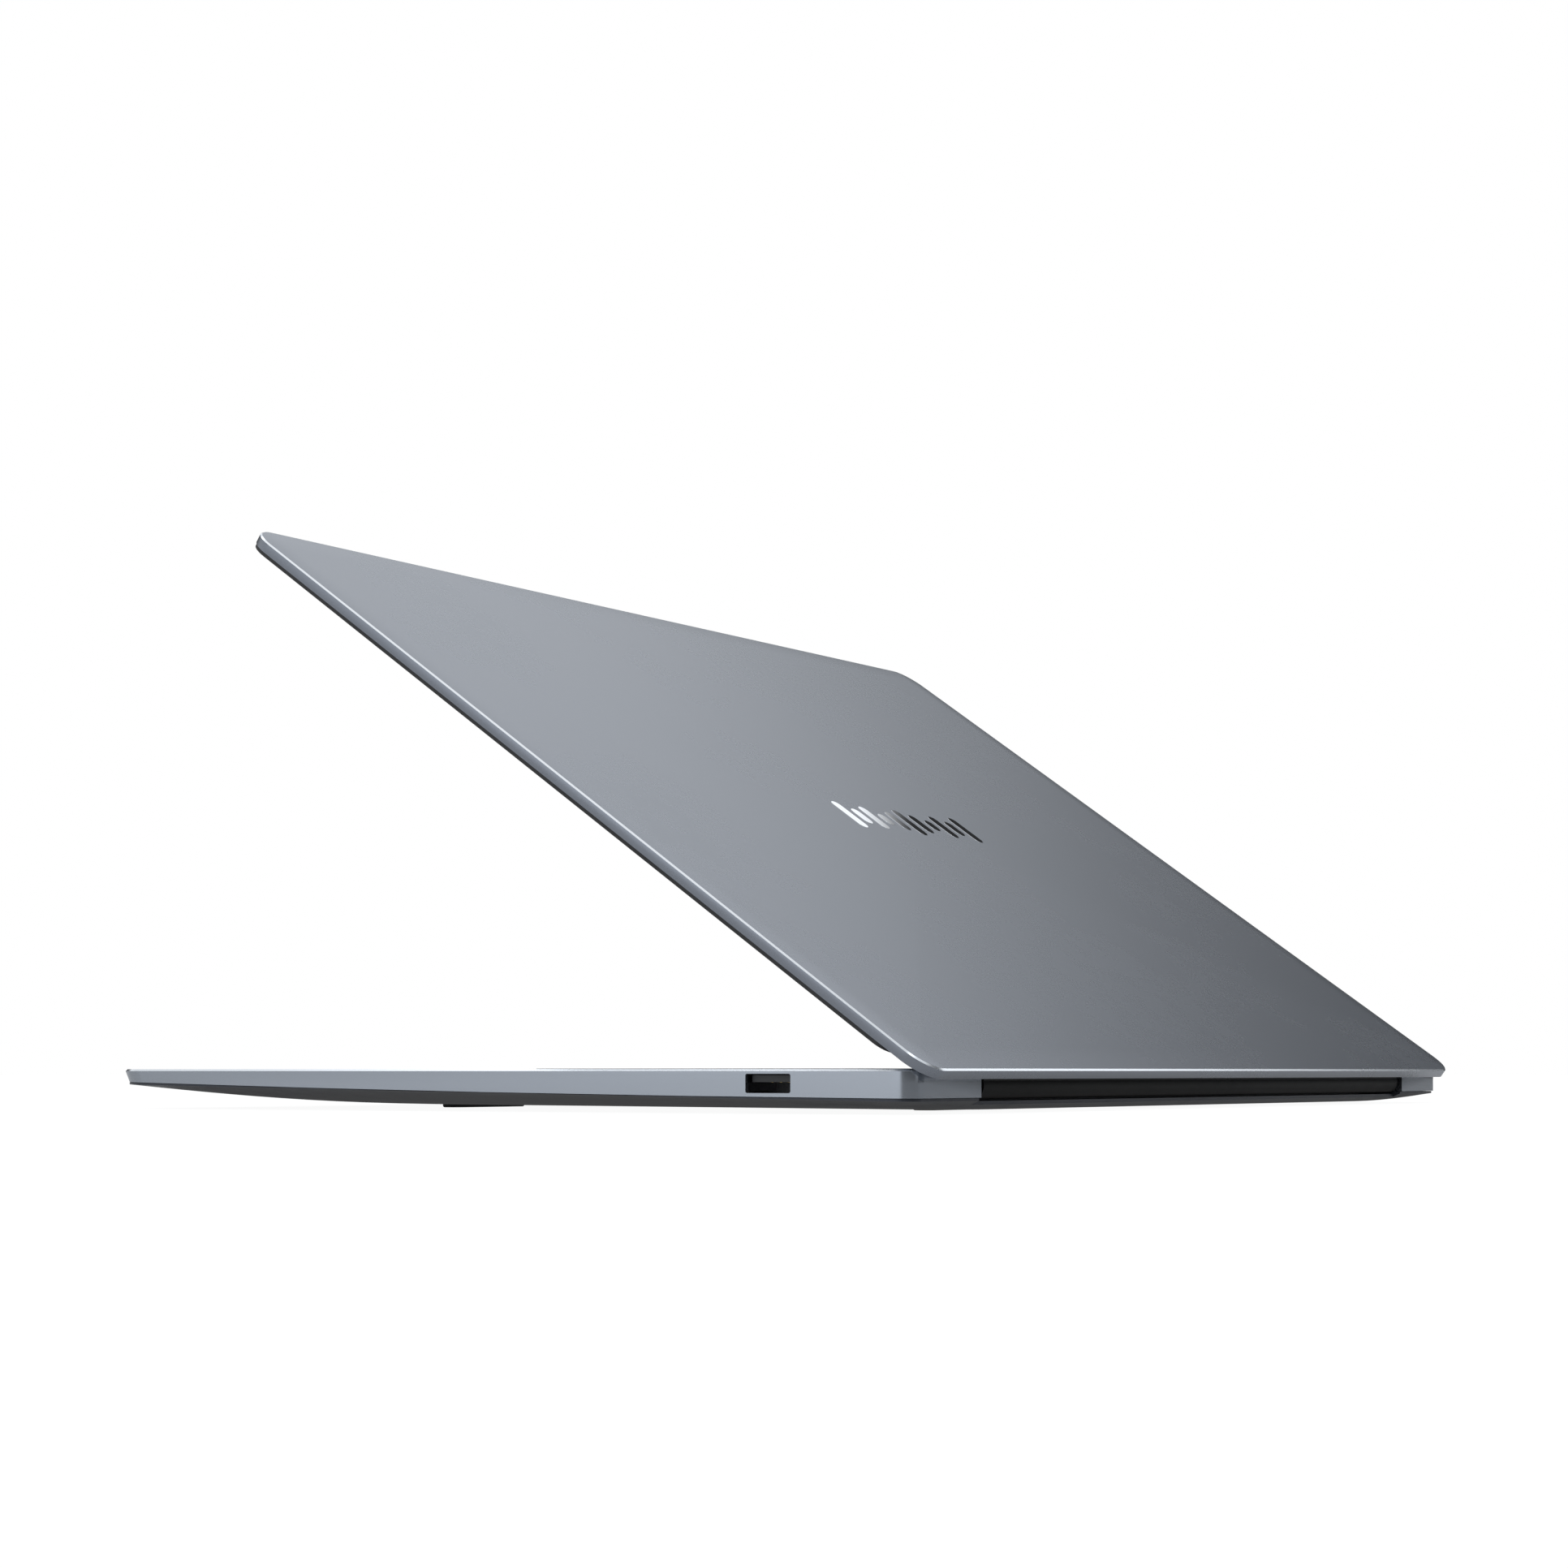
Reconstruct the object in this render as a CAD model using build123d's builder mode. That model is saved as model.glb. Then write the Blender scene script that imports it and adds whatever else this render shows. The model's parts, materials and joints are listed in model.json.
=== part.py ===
from build123d import *

import os
from math import cos, pi, radians, sin

os.makedirs("parts", exist_ok=True)

# ---------------------------------------------------------------- driving dimensions (mm, degrees)
width = 356.7  # lid, left to right
base_inset = 0.3  # the base is this much narrower than the lid on each side
base_depth = 249.0  # front edge to the rear faces of the corner blocks
base_height = 10.0  # deck to the underside, at the rear
foot_height = 0.7  # rear foot, below the underside
wall = 1.2  # aluminium and magnesium skins
deck_bevel = 0.5  # bright bevel round the deck and round the lid
seam_gap = 0.12  # joint line between the top case and the bottom cover
seam_front = 3.3  # depth of the joint line below the deck, at the front edge
seam_middle = 5.75
seam_rear = 6.9
front_corner = 11.0  # corner radii in plan
rear_corner = 6.0
front_lean = 1.4  # the front edge leans in by this much
lean_top = 0.6  # from this depth below the deck
lean_bottom = 3.4  # to this depth

opening_at_rest = 34.98  # lid angle from closed
lid_length = 249.2
lid_thickness = 3.0
gasket_height = 0.95
gasket_gap = 0.35  # gasket to deck with the lid closed
gasket_inset = 0.25  # from the lid's edges
lid_free_corner = 9.0
lid_hinge_corner = 8.0

axis_depth = 4.0  # hinge axis below the deck
axis_inset = 3.9  # hinge axis in front of the rear faces
block_inner_x = 144.0  # the corner blocks start here
block_round = 2.0  # radius of their rear upper edges
barrel_half_length = 141.5
barrel_radius = 3.3
barrel_gap = 0.6  # between the barrel and the front of its recess
pin_radius = 1.5

key_pitch = 19.0
row_pitch = 18.6
key_gap = 3.0
key_thickness = 1.4
key_proud = 0.15  # key tops above the deck
function_key_depth = 10.0
keyboard_rear = -31.0  # rear edge of the keyboard window
plate_top = -2.9  # keyboard plate, below the deck

touchpad_width = 132.0
touchpad_depth = 82.0
touchpad_rear = -152.0

usb_a_width = 12.5
usb_a_height = 4.6
usb_a_y = -39.2  # centre, in front of the rear face
usb_a_z = -3.45
shell_wall = 0.3
socket_depth = 14.0

# ---------------------------------------------------------------- worked-out places
rest = radians(opening_at_rest)
lid_outer = axis_depth + gasket_gap + gasket_height + lid_thickness  # outer face above the axis
lid_inner = lid_outer - lid_thickness
lid_rear = (lid_outer * cos(rest) - axis_depth) / sin(rest)  # rear edge behind the axis, lid shut
lid_front = lid_rear - lid_length
overhang = lid_rear * cos(rest) + (lid_outer - deck_bevel) * sin(rest) - axis_inset
rear_y = (base_depth - overhang) / 2  # the origin is under the middle of the whole object
deck_z = foot_height + base_height
base_half = width / 2 - base_inset
recess_front = -axis_inset - barrel_radius - barrel_gap

# Base coordinates: x across, y from the rear faces (negative is forward), z from the deck.
base_plane = Plane(origin=(0, rear_y, deck_z))
side_plane = Plane(origin=(0, rear_y, deck_z), x_dir=(0, 1, 0), z_dir=(1, 0, 0))
# Lid coordinates: as the base's with the lid shut, but measured from the hinge axis.
lid_plane = Plane(
    origin=(0, rear_y - axis_inset, deck_z - axis_depth), x_dir=(1, 0, 0), z_dir=(0, sin(rest), cos(rest))
)
lid_side_plane = Plane(origin=lid_plane.origin, x_dir=(0, cos(rest), -sin(rest)), z_dir=(1, 0, 0))


def rounded_outline(sketch, half_width, front, rear, front_radius, rear_radius):
    """Rectangle from front to rear with its own corner radius at each end."""
    with Locations((0, (front + rear) / 2)):
        Rectangle(2 * half_width, rear - front)
    fillet(sketch.vertices().group_by(Axis.Y)[0], front_radius)
    fillet(sketch.vertices().group_by(Axis.Y)[-1], rear_radius)


def box_between(low, high, plane, mode=Mode.ADD):
    """Box between two opposite corners, in the coordinates of the given plane."""
    centre = [(a + b) / 2 for a, b in zip(low, high)]
    size = [b - a for a, b in zip(low, high)]
    with BuildSketch(plane.offset(low[2]), mode=Mode.PRIVATE) as foot:
        with Locations((centre[0], centre[1])):
            Rectangle(size[0], size[1])
    extrude(foot.sketch, amount=size[2], mode=mode)


def rod(plane, radius, start, length, mode=Mode.ADD):
    """Cylinder along the given plane's normal, from start."""
    with BuildSketch(plane.offset(start), mode=Mode.PRIVATE) as disc:
        Circle(radius)
    extrude(disc.sketch, amount=length, mode=mode)


def finish(builder, name, solids=1):
    """Label the piece and write its STEP file."""
    builder.part.label = name
    found = len(builder.part.solids())
    if found != solids:
        print("NOTE", name, "has", found, "solids, expected", solids)
    export_step(builder.part, f"parts/{name}.step")


# ---------------------------------------------------------------- seam between top case and cover
def below_seam(drop):
    """Everything under the joint line, lowered by drop: an arc seen from the side."""
    low = -30.0
    with BuildSketch(side_plane, mode=Mode.PRIVATE) as region:
        with BuildLine():
            arc = ThreePointArc(
                (-base_depth, -seam_front - drop), (-base_depth / 2, -seam_middle - drop),
                (0, -seam_rear - drop),
            )
            Polyline(
                arc @ 1, (20, -seam_rear - drop), (20, low), (-base_depth - 20, low),
                (-base_depth - 20, -seam_front - drop), arc @ 0,
            )
        make_face()
    return region.sketch


# ---------------------------------------------------------------- top case
keyboard_half = 7.5 * key_pitch + 0.6
keyboard_front = keyboard_rear - function_key_depth - key_gap - 5 * row_pitch - 0.4
port_deck = -0.75  # underside of the thinned deck above the sockets
pocket_reach = 17.0  # how far in from the side the deck is thinned

right_ports = {"usb_a": (usb_a_y, usb_a_width, usb_a_height)}  # centre y, width, height
left_ports = {
    "usb_c_rear": (-24.0, 8.9, 3.2),
    "usb_c_front": (-40.0, 8.9, 3.2),
    "hdmi": (-60.0, 14.2, 4.7),
    "usb_a": (-82.0, usb_a_width, usb_a_height),
}
port_corner = {3.2: 1.55, 4.7: 0.9, usb_a_height: 0.5}
jack_y = -100.0
jack_radius = 1.75
jack_z = -3.4


def port_profile(plane, y, z, port_width, height, grow=0.0):
    """Rounded mouth of a socket, on a plane across X."""
    with BuildSketch(plane, mode=Mode.PRIVATE) as mouth:
        with Locations((y, z)):
            RectangleRounded(port_width + 2 * grow, height + 2 * grow, port_corner[height] + grow)
    return mouth.sketch


speaker_x = 155.2
speaker_y = (keyboard_rear + keyboard_front) / 2
screw_rear = [(-60.0, -15.0), (0.0, -15.0), (60.0, -15.0)]
screw_front = [
    (-120.0, -84.0), (120.0, -84.0), (-120.0, -128.0), (-40.0, -128.0), (40.0, -128.0), (120.0, -128.0)
]
boss_radius = 2.4
screw_radius = 0.9
fan_x = 119.0

def case_section(height, move_in):
    """Outline of the top case at a height above the deck, its front edge moved in."""
    with BuildSketch(base_plane.offset(height), mode=Mode.PRIVATE) as section:
        rounded_outline(section, base_half, -base_depth + move_in, 0, front_corner, rear_corner)
    return section.sketch


with BuildPart() as top_case:
    # upright to the lean, then the front edge and its corners lean in, then upright again
    extrude(case_section(0, 0), amount=-lean_top)
    loft([case_section(-lean_top, 0), case_section(-lean_bottom, front_lean)], ruled=True)
    extrude(case_section(-lean_bottom, front_lean), amount=lean_bottom - seam_rear - 1)
    # bright bevel along the sides, the front and the four corners
    deck_edges = top_case.faces().sort_by(Axis.Z)[-1].edges()
    bevelled = [edge for edge in deck_edges if edge.center().Y < rear_y - 0.3]
    chamfer(bevelled, deck_bevel)
    # recess for the hinge barrel
    box_between((-block_inner_x, recess_front, -9), (block_inner_x, 1, 1), base_plane, Mode.SUBTRACT)
    # the rear upper edges of the blocks are round, so that the lid turns past them
    with BuildSketch(side_plane):
        with BuildLine():
            RadiusArc((0, -block_round), (-block_round, 0), -block_round)
            Polyline((-block_round, 0), (-block_round, 1), (1, 1), (1, -block_round), (0, -block_round))
        make_face()
    extrude(amount=width, both=True, mode=Mode.SUBTRACT)
    # the hollow underneath, clear of the recess wall
    with BuildSketch(base_plane.offset(-wall)) as hollow:
        rounded_outline(
            hollow, base_half - wall, -base_depth + front_lean + 2.0, -wall,
            front_corner - wall, rear_corner - wall,
        )
        with Locations((0, recess_front / 2)):
            Rectangle(2 * (block_inner_x + wall), -recess_front + 2 * wall, mode=Mode.SUBTRACT)
    extrude(amount=-20, mode=Mode.SUBTRACT)
    # keyboard and touchpad windows
    with BuildSketch(base_plane.offset(1)):
        with Locations((0, (keyboard_rear + keyboard_front) / 2)):
            RectangleRounded(2 * keyboard_half, keyboard_rear - keyboard_front, 3.0)
        with Locations((0, touchpad_rear - touchpad_depth / 2)):
            RectangleRounded(touchpad_width + 0.8, touchpad_depth + 0.8, 4.4)
    extrude(amount=-wall - 2, mode=Mode.SUBTRACT)
    # speaker grilles beside the keyboard
    with BuildSketch(base_plane.offset(1)):
        for side in (-1, 1):
            with Locations((side * speaker_x, speaker_y)):
                with GridLocations(2.2, 2.2, 5, 40):
                    Circle(0.45)
    extrude(amount=-wall - 2, mode=Mode.SUBTRACT)
    # sockets: the mouths in the walls, and the deck thinned above them
    for side, ports in ((1, right_ports), (-1, left_ports)):
        for y, port_width, height in ports.values():
            mouth = port_profile(side_plane.offset(side * (base_half + 1)), y, usb_a_z, port_width, height)
            extrude(mouth, amount=-side * (wall + 2), mode=Mode.SUBTRACT)
            half = port_width / 2 + 1.2
            near, far = sorted((side * (base_half - wall), side * (base_half - pocket_reach)))
            box_between((near, y - half, -3), (far, y + half, port_deck), base_plane, Mode.SUBTRACT)
    with BuildSketch(side_plane.offset(-base_half - 1)):
        with Locations((jack_y, jack_z)):
            Circle(jack_radius + 0.6)
    extrude(amount=wall + 2, mode=Mode.SUBTRACT)
    # exhaust slots in the wall in front of the barrel
    with BuildSketch(Plane(origin=(0, rear_y + recess_front + 1, deck_z), x_dir=(-1, 0, 0), z_dir=(0, 1, 0))):
        for side in (-1, 1):
            with Locations((side * fan_x, -4.4)):
                with GridLocations(3.0, 1, 14, 1):
                    SlotOverall(3.4, 1.4, rotation=90)
    extrude(amount=-wall - 2, mode=Mode.SUBTRACT)
    # round holes for the hinge pins
    with BuildSketch(side_plane.offset(-block_inner_x - 3)):
        with Locations((-axis_inset, -axis_depth)):
            Circle(pin_radius + 0.3)
    extrude(amount=2 * block_inner_x + 6, mode=Mode.SUBTRACT)
    # screw bosses behind the keyboard
    with BuildSketch(base_plane.offset(-wall)):
        with Locations(*screw_rear):
            Circle(boss_radius)
            Circle(screw_radius, mode=Mode.SUBTRACT)
    extrude(amount=-6.2)
    extrude(below_seam(0), amount=width, both=True, mode=Mode.SUBTRACT)
    for x, y in screw_rear:
        rod(Plane(origin=base_plane.from_local_coords((x, y, 0))), screw_radius, -8, 5, Mode.SUBTRACT)
finish(top_case, "top_case")

# ---------------------------------------------------------------- bottom cover: a shallow hull
side_run = 40.0  # the hull rises over this distance at the sides
front_run = 60.0
rear_step = 0.6  # the hull starts this far in front of the blocks' rear faces
straight = 0.75  # upright part of the hull under the joint line
bottom_front = 9.1  # underside below the deck, extended to the front edge
hull_steps = [count / 12 for count in range(13)]


def hull_plane(front_depth, rear_depth):
    """Plane through two depths below the deck, at the front edge and at the rear."""
    return Plane(
        origin=(0, rear_y, deck_z - rear_depth), x_dir=(1, 0, 0),
        z_dir=(0, rear_depth - front_depth, base_depth),
    )


def hull_section(step, raise_by, shrink, rear_limit, rear_run):
    """Outline of the hull where it has run in by the fraction step of its runs."""
    drop = sin(pi / 2 * step)
    front_depth = seam_front + straight + (bottom_front - seam_front - straight) * drop - raise_by
    rear_depth = seam_rear + straight + (base_height - seam_rear - straight) * drop - raise_by
    grow = 24 * step
    with BuildSketch(hull_plane(front_depth, rear_depth), mode=Mode.PRIVATE) as section:
        rounded_outline(
            section, base_half - shrink - side_run * step,
            -base_depth + front_lean + shrink + front_run * step, rear_limit - rear_run * step,
            front_corner + grow, rear_corner + grow / 2,
        )
    return section.sketch


def hull(raise_by, shrink, rear_limit, rear_run, top_raise):
    """Sections of the hull from its upright rim down to the flat underside."""
    rim_plane = hull_plane(seam_front - top_raise, seam_rear - top_raise)
    with BuildSketch(rim_plane, mode=Mode.PRIVATE) as rim_outline:
        rounded_outline(
            rim_outline, base_half - shrink, -base_depth + front_lean + shrink, rear_limit,
            front_corner, rear_corner,
        )
    sections = [hull_section(step, raise_by, shrink, rear_limit, rear_run) for step in hull_steps]
    return [rim_outline.sketch] + sections


vent_x = 115.0
vent_y = -45.0
inner_rear = recess_front - 1.3
with BuildPart() as hull_inside:
    loft(hull(wall, wall, inner_rear, 1.0, 2.0), ruled=True)
with BuildPart() as under_seam:
    extrude(below_seam(seam_gap), amount=width, both=True)
with BuildPart() as bottom_cover:
    loft(hull(0.0, 0.0, -rear_step, 8.0, 0.4), ruled=True)
    add(hull_inside.part, mode=Mode.SUBTRACT)
    # only what lies under the joint line is left
    add(under_seam.part, mode=Mode.INTERSECT)
    # trough under the barrel, ending in a thin rear lip
    trough_floor = -axis_depth - barrel_radius - 0.45
    box_between((-block_inner_x, recess_front - 0.2, trough_floor), (block_inner_x, 1, 1), base_plane,
                Mode.SUBTRACT)
    box_between((-block_inner_x, -axis_inset + 1.0, -20), (block_inner_x, 1, 1), base_plane, Mode.SUBTRACT)
    # air intakes under the fans
    with BuildSketch(base_plane.offset(-20)):
        for side in (-1, 1):
            with Locations((side * vent_x, vent_y)):
                with GridLocations(1, 5.0, 1, 8):
                    SlotOverall(34, 2.0)
    extrude(amount=16, mode=Mode.SUBTRACT)
    # sunk seats for the screw heads
    for x, y in screw_rear + screw_front:
        spot = Plane(origin=base_plane.from_local_coords((x, y, 0)))
        rod(spot, 2.3, -12, 3.0, Mode.SUBTRACT)
        rod(spot, screw_radius + 0.1, -12, 5, Mode.SUBTRACT)
finish(bottom_cover, "bottom_cover")

with BuildPart() as bottom_screws:
    for x, y in screw_rear + screw_front:
        spot = Plane(origin=base_plane.from_local_coords((x, y, 0)))
        rod(spot, 2.0, -9.42, 0.4)
        rod(spot, screw_radius - 0.1, -9.1, 3.8)
        with BuildSketch(spot.offset(-9.5)):
            RegularPolygon(0.8, 6)
        extrude(amount=0.3, mode=Mode.SUBTRACT)
finish(bottom_screws, "bottom_screws", len(screw_rear + screw_front))

# ---------------------------------------------------------------- feet
rear_foot_y = -42.0
front_foot_y = -188.0
underside_slope = (base_height - bottom_front) / base_depth
with BuildPart() as rear_foot:
    with BuildSketch(Plane(origin=(0, rear_y + rear_foot_y, 0))):
        SlotOverall(196, 7.0)
    extrude(amount=foot_height - underside_slope * rear_foot_y - 0.02)
    fillet(rear_foot.faces().sort_by(Axis.Z)[0].edges(), 0.5)
finish(rear_foot, "rear_foot")

with BuildPart() as front_feet:
    with BuildSketch(Plane(origin=(0, rear_y + front_foot_y, 0))):
        with GridLocations(180, 1, 2, 1):
            SlotOverall(34, 7.0)
    extrude(amount=foot_height - underside_slope * front_foot_y - 0.02)
    soles = front_feet.faces().sort_by(Axis.Z)[:2]
    fillet(soles[0].edges() + soles[1].edges(), 0.5)
finish(front_feet, "front_feet", 2)


# ---------------------------------------------------------------- sockets
def socket_shell(side, y, port_width, height, depth):
    """Folded metal sleeve with a back, its mouth against the inside of the wall."""
    mouth = side * (base_half - wall - 0.02)
    outer = port_profile(side_plane.offset(mouth), y, usb_a_z, port_width, height, shell_wall)
    inner = port_profile(side_plane.offset(mouth), y, usb_a_z, port_width, height)
    extrude(outer, amount=-side * depth)
    extrude(inner, amount=-side * (depth - 0.8), mode=Mode.SUBTRACT)


def socket_tongue(side, y, tongue_width, z_low, z_high, start, depth):
    """Contact tongue, standing on the back of its socket."""
    near = side * (base_half - wall - start)
    far = side * (base_half - wall - depth + 0.85)
    near, far = sorted((near, far))
    box_between((near, y - tongue_width / 2, z_low), (far, y + tongue_width / 2, z_high), base_plane)


with BuildPart() as usb_a_port_right:
    socket_shell(1, *right_ports["usb_a"], socket_depth)
finish(usb_a_port_right, "usb_a_port_right")

with BuildPart() as usb_a_tongue_right:
    socket_tongue(1, usb_a_y, 11.1, usb_a_z + 0.3, usb_a_z + 2.0, 0.8, socket_depth)
finish(usb_a_tongue_right, "usb_a_tongue_right")

with BuildPart() as usb_a_port_left:
    socket_shell(-1, *left_ports["usb_a"], socket_depth)
finish(usb_a_port_left, "usb_a_port_left")

with BuildPart() as usb_a_tongue_left:
    socket_tongue(-1, left_ports["usb_a"][0], 11.1, usb_a_z + 0.3, usb_a_z + 2.0, 0.8, socket_depth)
finish(usb_a_tongue_left, "usb_a_tongue_left")

with BuildPart() as usb_c_ports:
    for name in ("usb_c_rear", "usb_c_front"):
        socket_shell(-1, *left_ports[name], 8.0)
finish(usb_c_ports, "usb_c_ports", 2)

with BuildPart() as usb_c_tongues:
    for name in ("usb_c_rear", "usb_c_front"):
        socket_tongue(-1, left_ports[name][0], 6.6, usb_a_z - 0.35, usb_a_z + 0.35, 1.0, 8.0)
finish(usb_c_tongues, "usb_c_tongues", 2)

with BuildPart() as hdmi_port:
    socket_shell(-1, *left_ports["hdmi"], 12.0)
finish(hdmi_port, "hdmi_port")

with BuildPart() as hdmi_tongue:
    socket_tongue(-1, left_ports["hdmi"][0], 11.0, usb_a_z - 0.4, usb_a_z + 0.9, 1.0, 12.0)
finish(hdmi_tongue, "hdmi_tongue")

jack_length = 15.0
jack_plane = Plane(
    origin=(-base_half, rear_y + jack_y, deck_z + jack_z), x_dir=(0, 1, 0), z_dir=(1, 0, 0)
)
with BuildPart() as audio_jack:
    rod(jack_plane, jack_radius + 0.5, 0.1, wall)
    with BuildSketch(jack_plane.offset(wall + 0.05)):
        RectangleRounded(5.2, 4.2, 0.4)
    extrude(amount=jack_length - wall)
    rod(jack_plane, jack_radius, -0.1, jack_length - 0.8, Mode.SUBTRACT)
finish(audio_jack, "audio_jack")

# ---------------------------------------------------------------- keyboard
plate_thickness = 0.8
rim = 1.6
with BuildPart() as keyboard_plate:
    with BuildSketch(base_plane.offset(-wall - 0.05)):
        with Locations((0, (keyboard_rear + keyboard_front) / 2)):
            RectangleRounded(2 * (keyboard_half + rim), keyboard_rear - keyboard_front + 2 * rim, 3.0)
    extrude(amount=plate_top - plate_thickness + wall + 0.05)
    with BuildSketch(base_plane.offset(-wall)):
        with Locations((0, (keyboard_rear + keyboard_front) / 2)):
            RectangleRounded(2 * keyboard_half + 0.4, keyboard_rear - keyboard_front + 0.4, 2.0)
    extrude(amount=plate_top + wall, mode=Mode.SUBTRACT)
    with BuildSketch(base_plane.offset(plate_top - plate_thickness)):
        with Locations(*screw_front):
            Circle(boss_radius)
            Circle(screw_radius, mode=Mode.SUBTRACT)
    extrude(amount=-3.6)
finish(keyboard_plate, "keyboard_plate")


def keycap(x, y, cap_width, cap_depth):
    """One key: a thin block with rounded corners and a small bevel on top."""
    with BuildSketch(base_plane.offset(key_proud - key_thickness), mode=Mode.PRIVATE) as cap:
        with Locations((x, y)):
            RectangleRounded(cap_width, cap_depth, 1.6)
    block = extrude(cap.sketch, amount=key_thickness)
    chamfer(block.faces().sort_by(Axis.Z)[-1].edges(), 0.25)


def row_y(row):
    """Centre line of a full row, counted from the number row."""
    return keyboard_rear - 0.2 - function_key_depth - key_gap - row_pitch * (row + 0.5) + key_gap / 2


def key_row(name, row, units):
    """A row of keys from left to right, each given as (width in key pitches, whether it is here)."""
    with BuildPart() as keys:
        left = -7.5 * key_pitch
        for units_wide, present in units:
            if present:
                keycap(left + units_wide * key_pitch / 2, row_y(row), units_wide * key_pitch - key_gap,
                       row_pitch - key_gap)
            left += units_wide * key_pitch
    finish(keys, name, sum(present for _, present in units))


here = True
gap = False
with BuildPart() as function_keys:
    for column in range(14):
        keycap((column - 7) * key_pitch, keyboard_rear - 1.6 - function_key_depth / 2 + 0.5,
               key_pitch - key_gap, function_key_depth - 0.6)
finish(function_keys, "function_keys", 14)

key_row("number_row_keys", 0, [(1, here)] * 13 + [(2, here)])
key_row("upper_row_keys", 1, [(1.5, here)] + [(1, here)] * 12 + [(1.5, here)])
key_row("home_row_keys", 2, [(1.75, here)] + [(1, here)] * 11 + [(2.25, here)])
key_row("lower_row_keys", 3, [(2.25, here)] + [(1, here)] * 10 + [(2.75, here)])
key_row("modifier_keys", 4, [(1.25, here)] + [(1, here)] * 3 + [(5.75, gap)] + [(1, here)] * 2)
key_row("space_bar", 4, [(4.25, gap), (5.75, here)])

with BuildPart() as arrow_keys:
    for column in (5.0, 7.0):
        keycap(column * key_pitch, row_y(4), key_pitch - key_gap, row_pitch - key_gap)
    half_depth = (row_pitch - key_gap - 1.0) / 2
    for side in (-1, 1):
        keycap(6.0 * key_pitch, row_y(4) + side * (half_depth + 1.0) / 2, key_pitch - key_gap, half_depth)
finish(arrow_keys, "arrow_keys", 4)

with BuildPart() as power_button:
    keycap(7.0 * key_pitch, keyboard_rear - 1.6 - function_key_depth / 2 + 0.5, key_pitch - key_gap,
           function_key_depth - 0.6)
finish(power_button, "power_button")

# ---------------------------------------------------------------- touchpad
touchpad_y = touchpad_rear - touchpad_depth / 2
with BuildPart() as touchpad:
    with BuildSketch(base_plane.offset(-0.1)):
        with Locations((0, touchpad_y)):
            RectangleRounded(touchpad_width, touchpad_depth, 4.0)
    extrude(amount=-1.3)
    chamfer(touchpad.faces().sort_by(Axis.Z)[-1].edges(), 0.25)
finish(touchpad, "touchpad")

with BuildPart() as touchpad_frame:
    with BuildSketch(base_plane.offset(-wall - 0.05)):
        with Locations((0, touchpad_y)):
            RectangleRounded(touchpad_width + 7, touchpad_depth + 6, 5.0)
            RectangleRounded(touchpad_width + 2, touchpad_depth + 2, 4.0, mode=Mode.SUBTRACT)
    extrude(amount=-1.4)
    with BuildSketch(base_plane.offset(-wall - 1.4)):
        with Locations((0, touchpad_y)):
            RectangleRounded(touchpad_width + 7, touchpad_depth + 6, 5.0)
            RectangleRounded(touchpad_width - 12, touchpad_depth - 12, 4.0, mode=Mode.SUBTRACT)
    extrude(amount=-0.5)
finish(touchpad_frame, "touchpad_frame")

# ---------------------------------------------------------------- circuit boards and cooling
board_top = -4.2
board_bottom = board_top - 0.8
fan_y = -46.0
fan_half = 25.0
fan_top = -4.0
fan_bottom = -8.1
fan_skin = 0.5
impeller_clearance = 0.4
impeller_radius = 21.0
fin_front = -19.5
fin_rear = -9.6
fin_block = 46.0  # length of each fin stack
fin_count = 24
fin_thickness = 0.3

with BuildPart() as motherboard:
    with BuildSketch(base_plane.offset(board_top)):
        with Locations((0, -66)):
            RectangleRounded(184, 88, 3.0)
        with Locations(*screw_front):
            Circle(boss_radius + 1, mode=Mode.SUBTRACT)
        with Locations((-80, -104)):
            Rectangle(30, 20, mode=Mode.SUBTRACT)
    extrude(amount=-0.8)
finish(motherboard, "motherboard")

with BuildPart() as processor:
    box_between((-22, -64, board_bottom - 0.9), (22, -36, board_bottom - 0.02), base_plane)
finish(processor, "processor")

with BuildPart() as heat_spreader:
    box_between((-26, -68, board_bottom - 1.9), (26, -32, board_bottom - 0.92), base_plane)
finish(heat_spreader, "heat_spreader")

pipe_top = board_bottom - 1.95
with BuildPart() as heat_pipes:
    for side in (-1, 1):
        with BuildSketch(base_plane.offset(pipe_top)):
            with BuildLine():
                FilletPolyline(
                    (side * 2, -50), (side * 70, -50), (side * 88, -14.5), (side * 141, -14.5), radius=8
                )
            trace(line_width=7.0)
        extrude(amount=-1.4)
finish(heat_pipes, "heat_pipes", 2)

with BuildPart() as fin_stacks:
    for side in (-1, 1):
        left = side * fan_x - fin_block / 2
        box_between((left, fin_front, pipe_top + 0.02), (left + fin_block, fin_rear, pipe_top + 0.5),
                    base_plane)
        for column in range(fin_count):
            x = left + column * (fin_block - fin_thickness) / (fin_count - 1)
            box_between((x, fin_front, pipe_top + 0.4), (x + fin_thickness, fin_rear, -2.4), base_plane)
finish(fin_stacks, "fin_stacks", 2)


def fan_centre(side):
    """Plane at the fan's axle, with its origin at deck height."""
    return Plane(origin=base_plane.from_local_coords((side * fan_x, fan_y, 0)))


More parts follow.
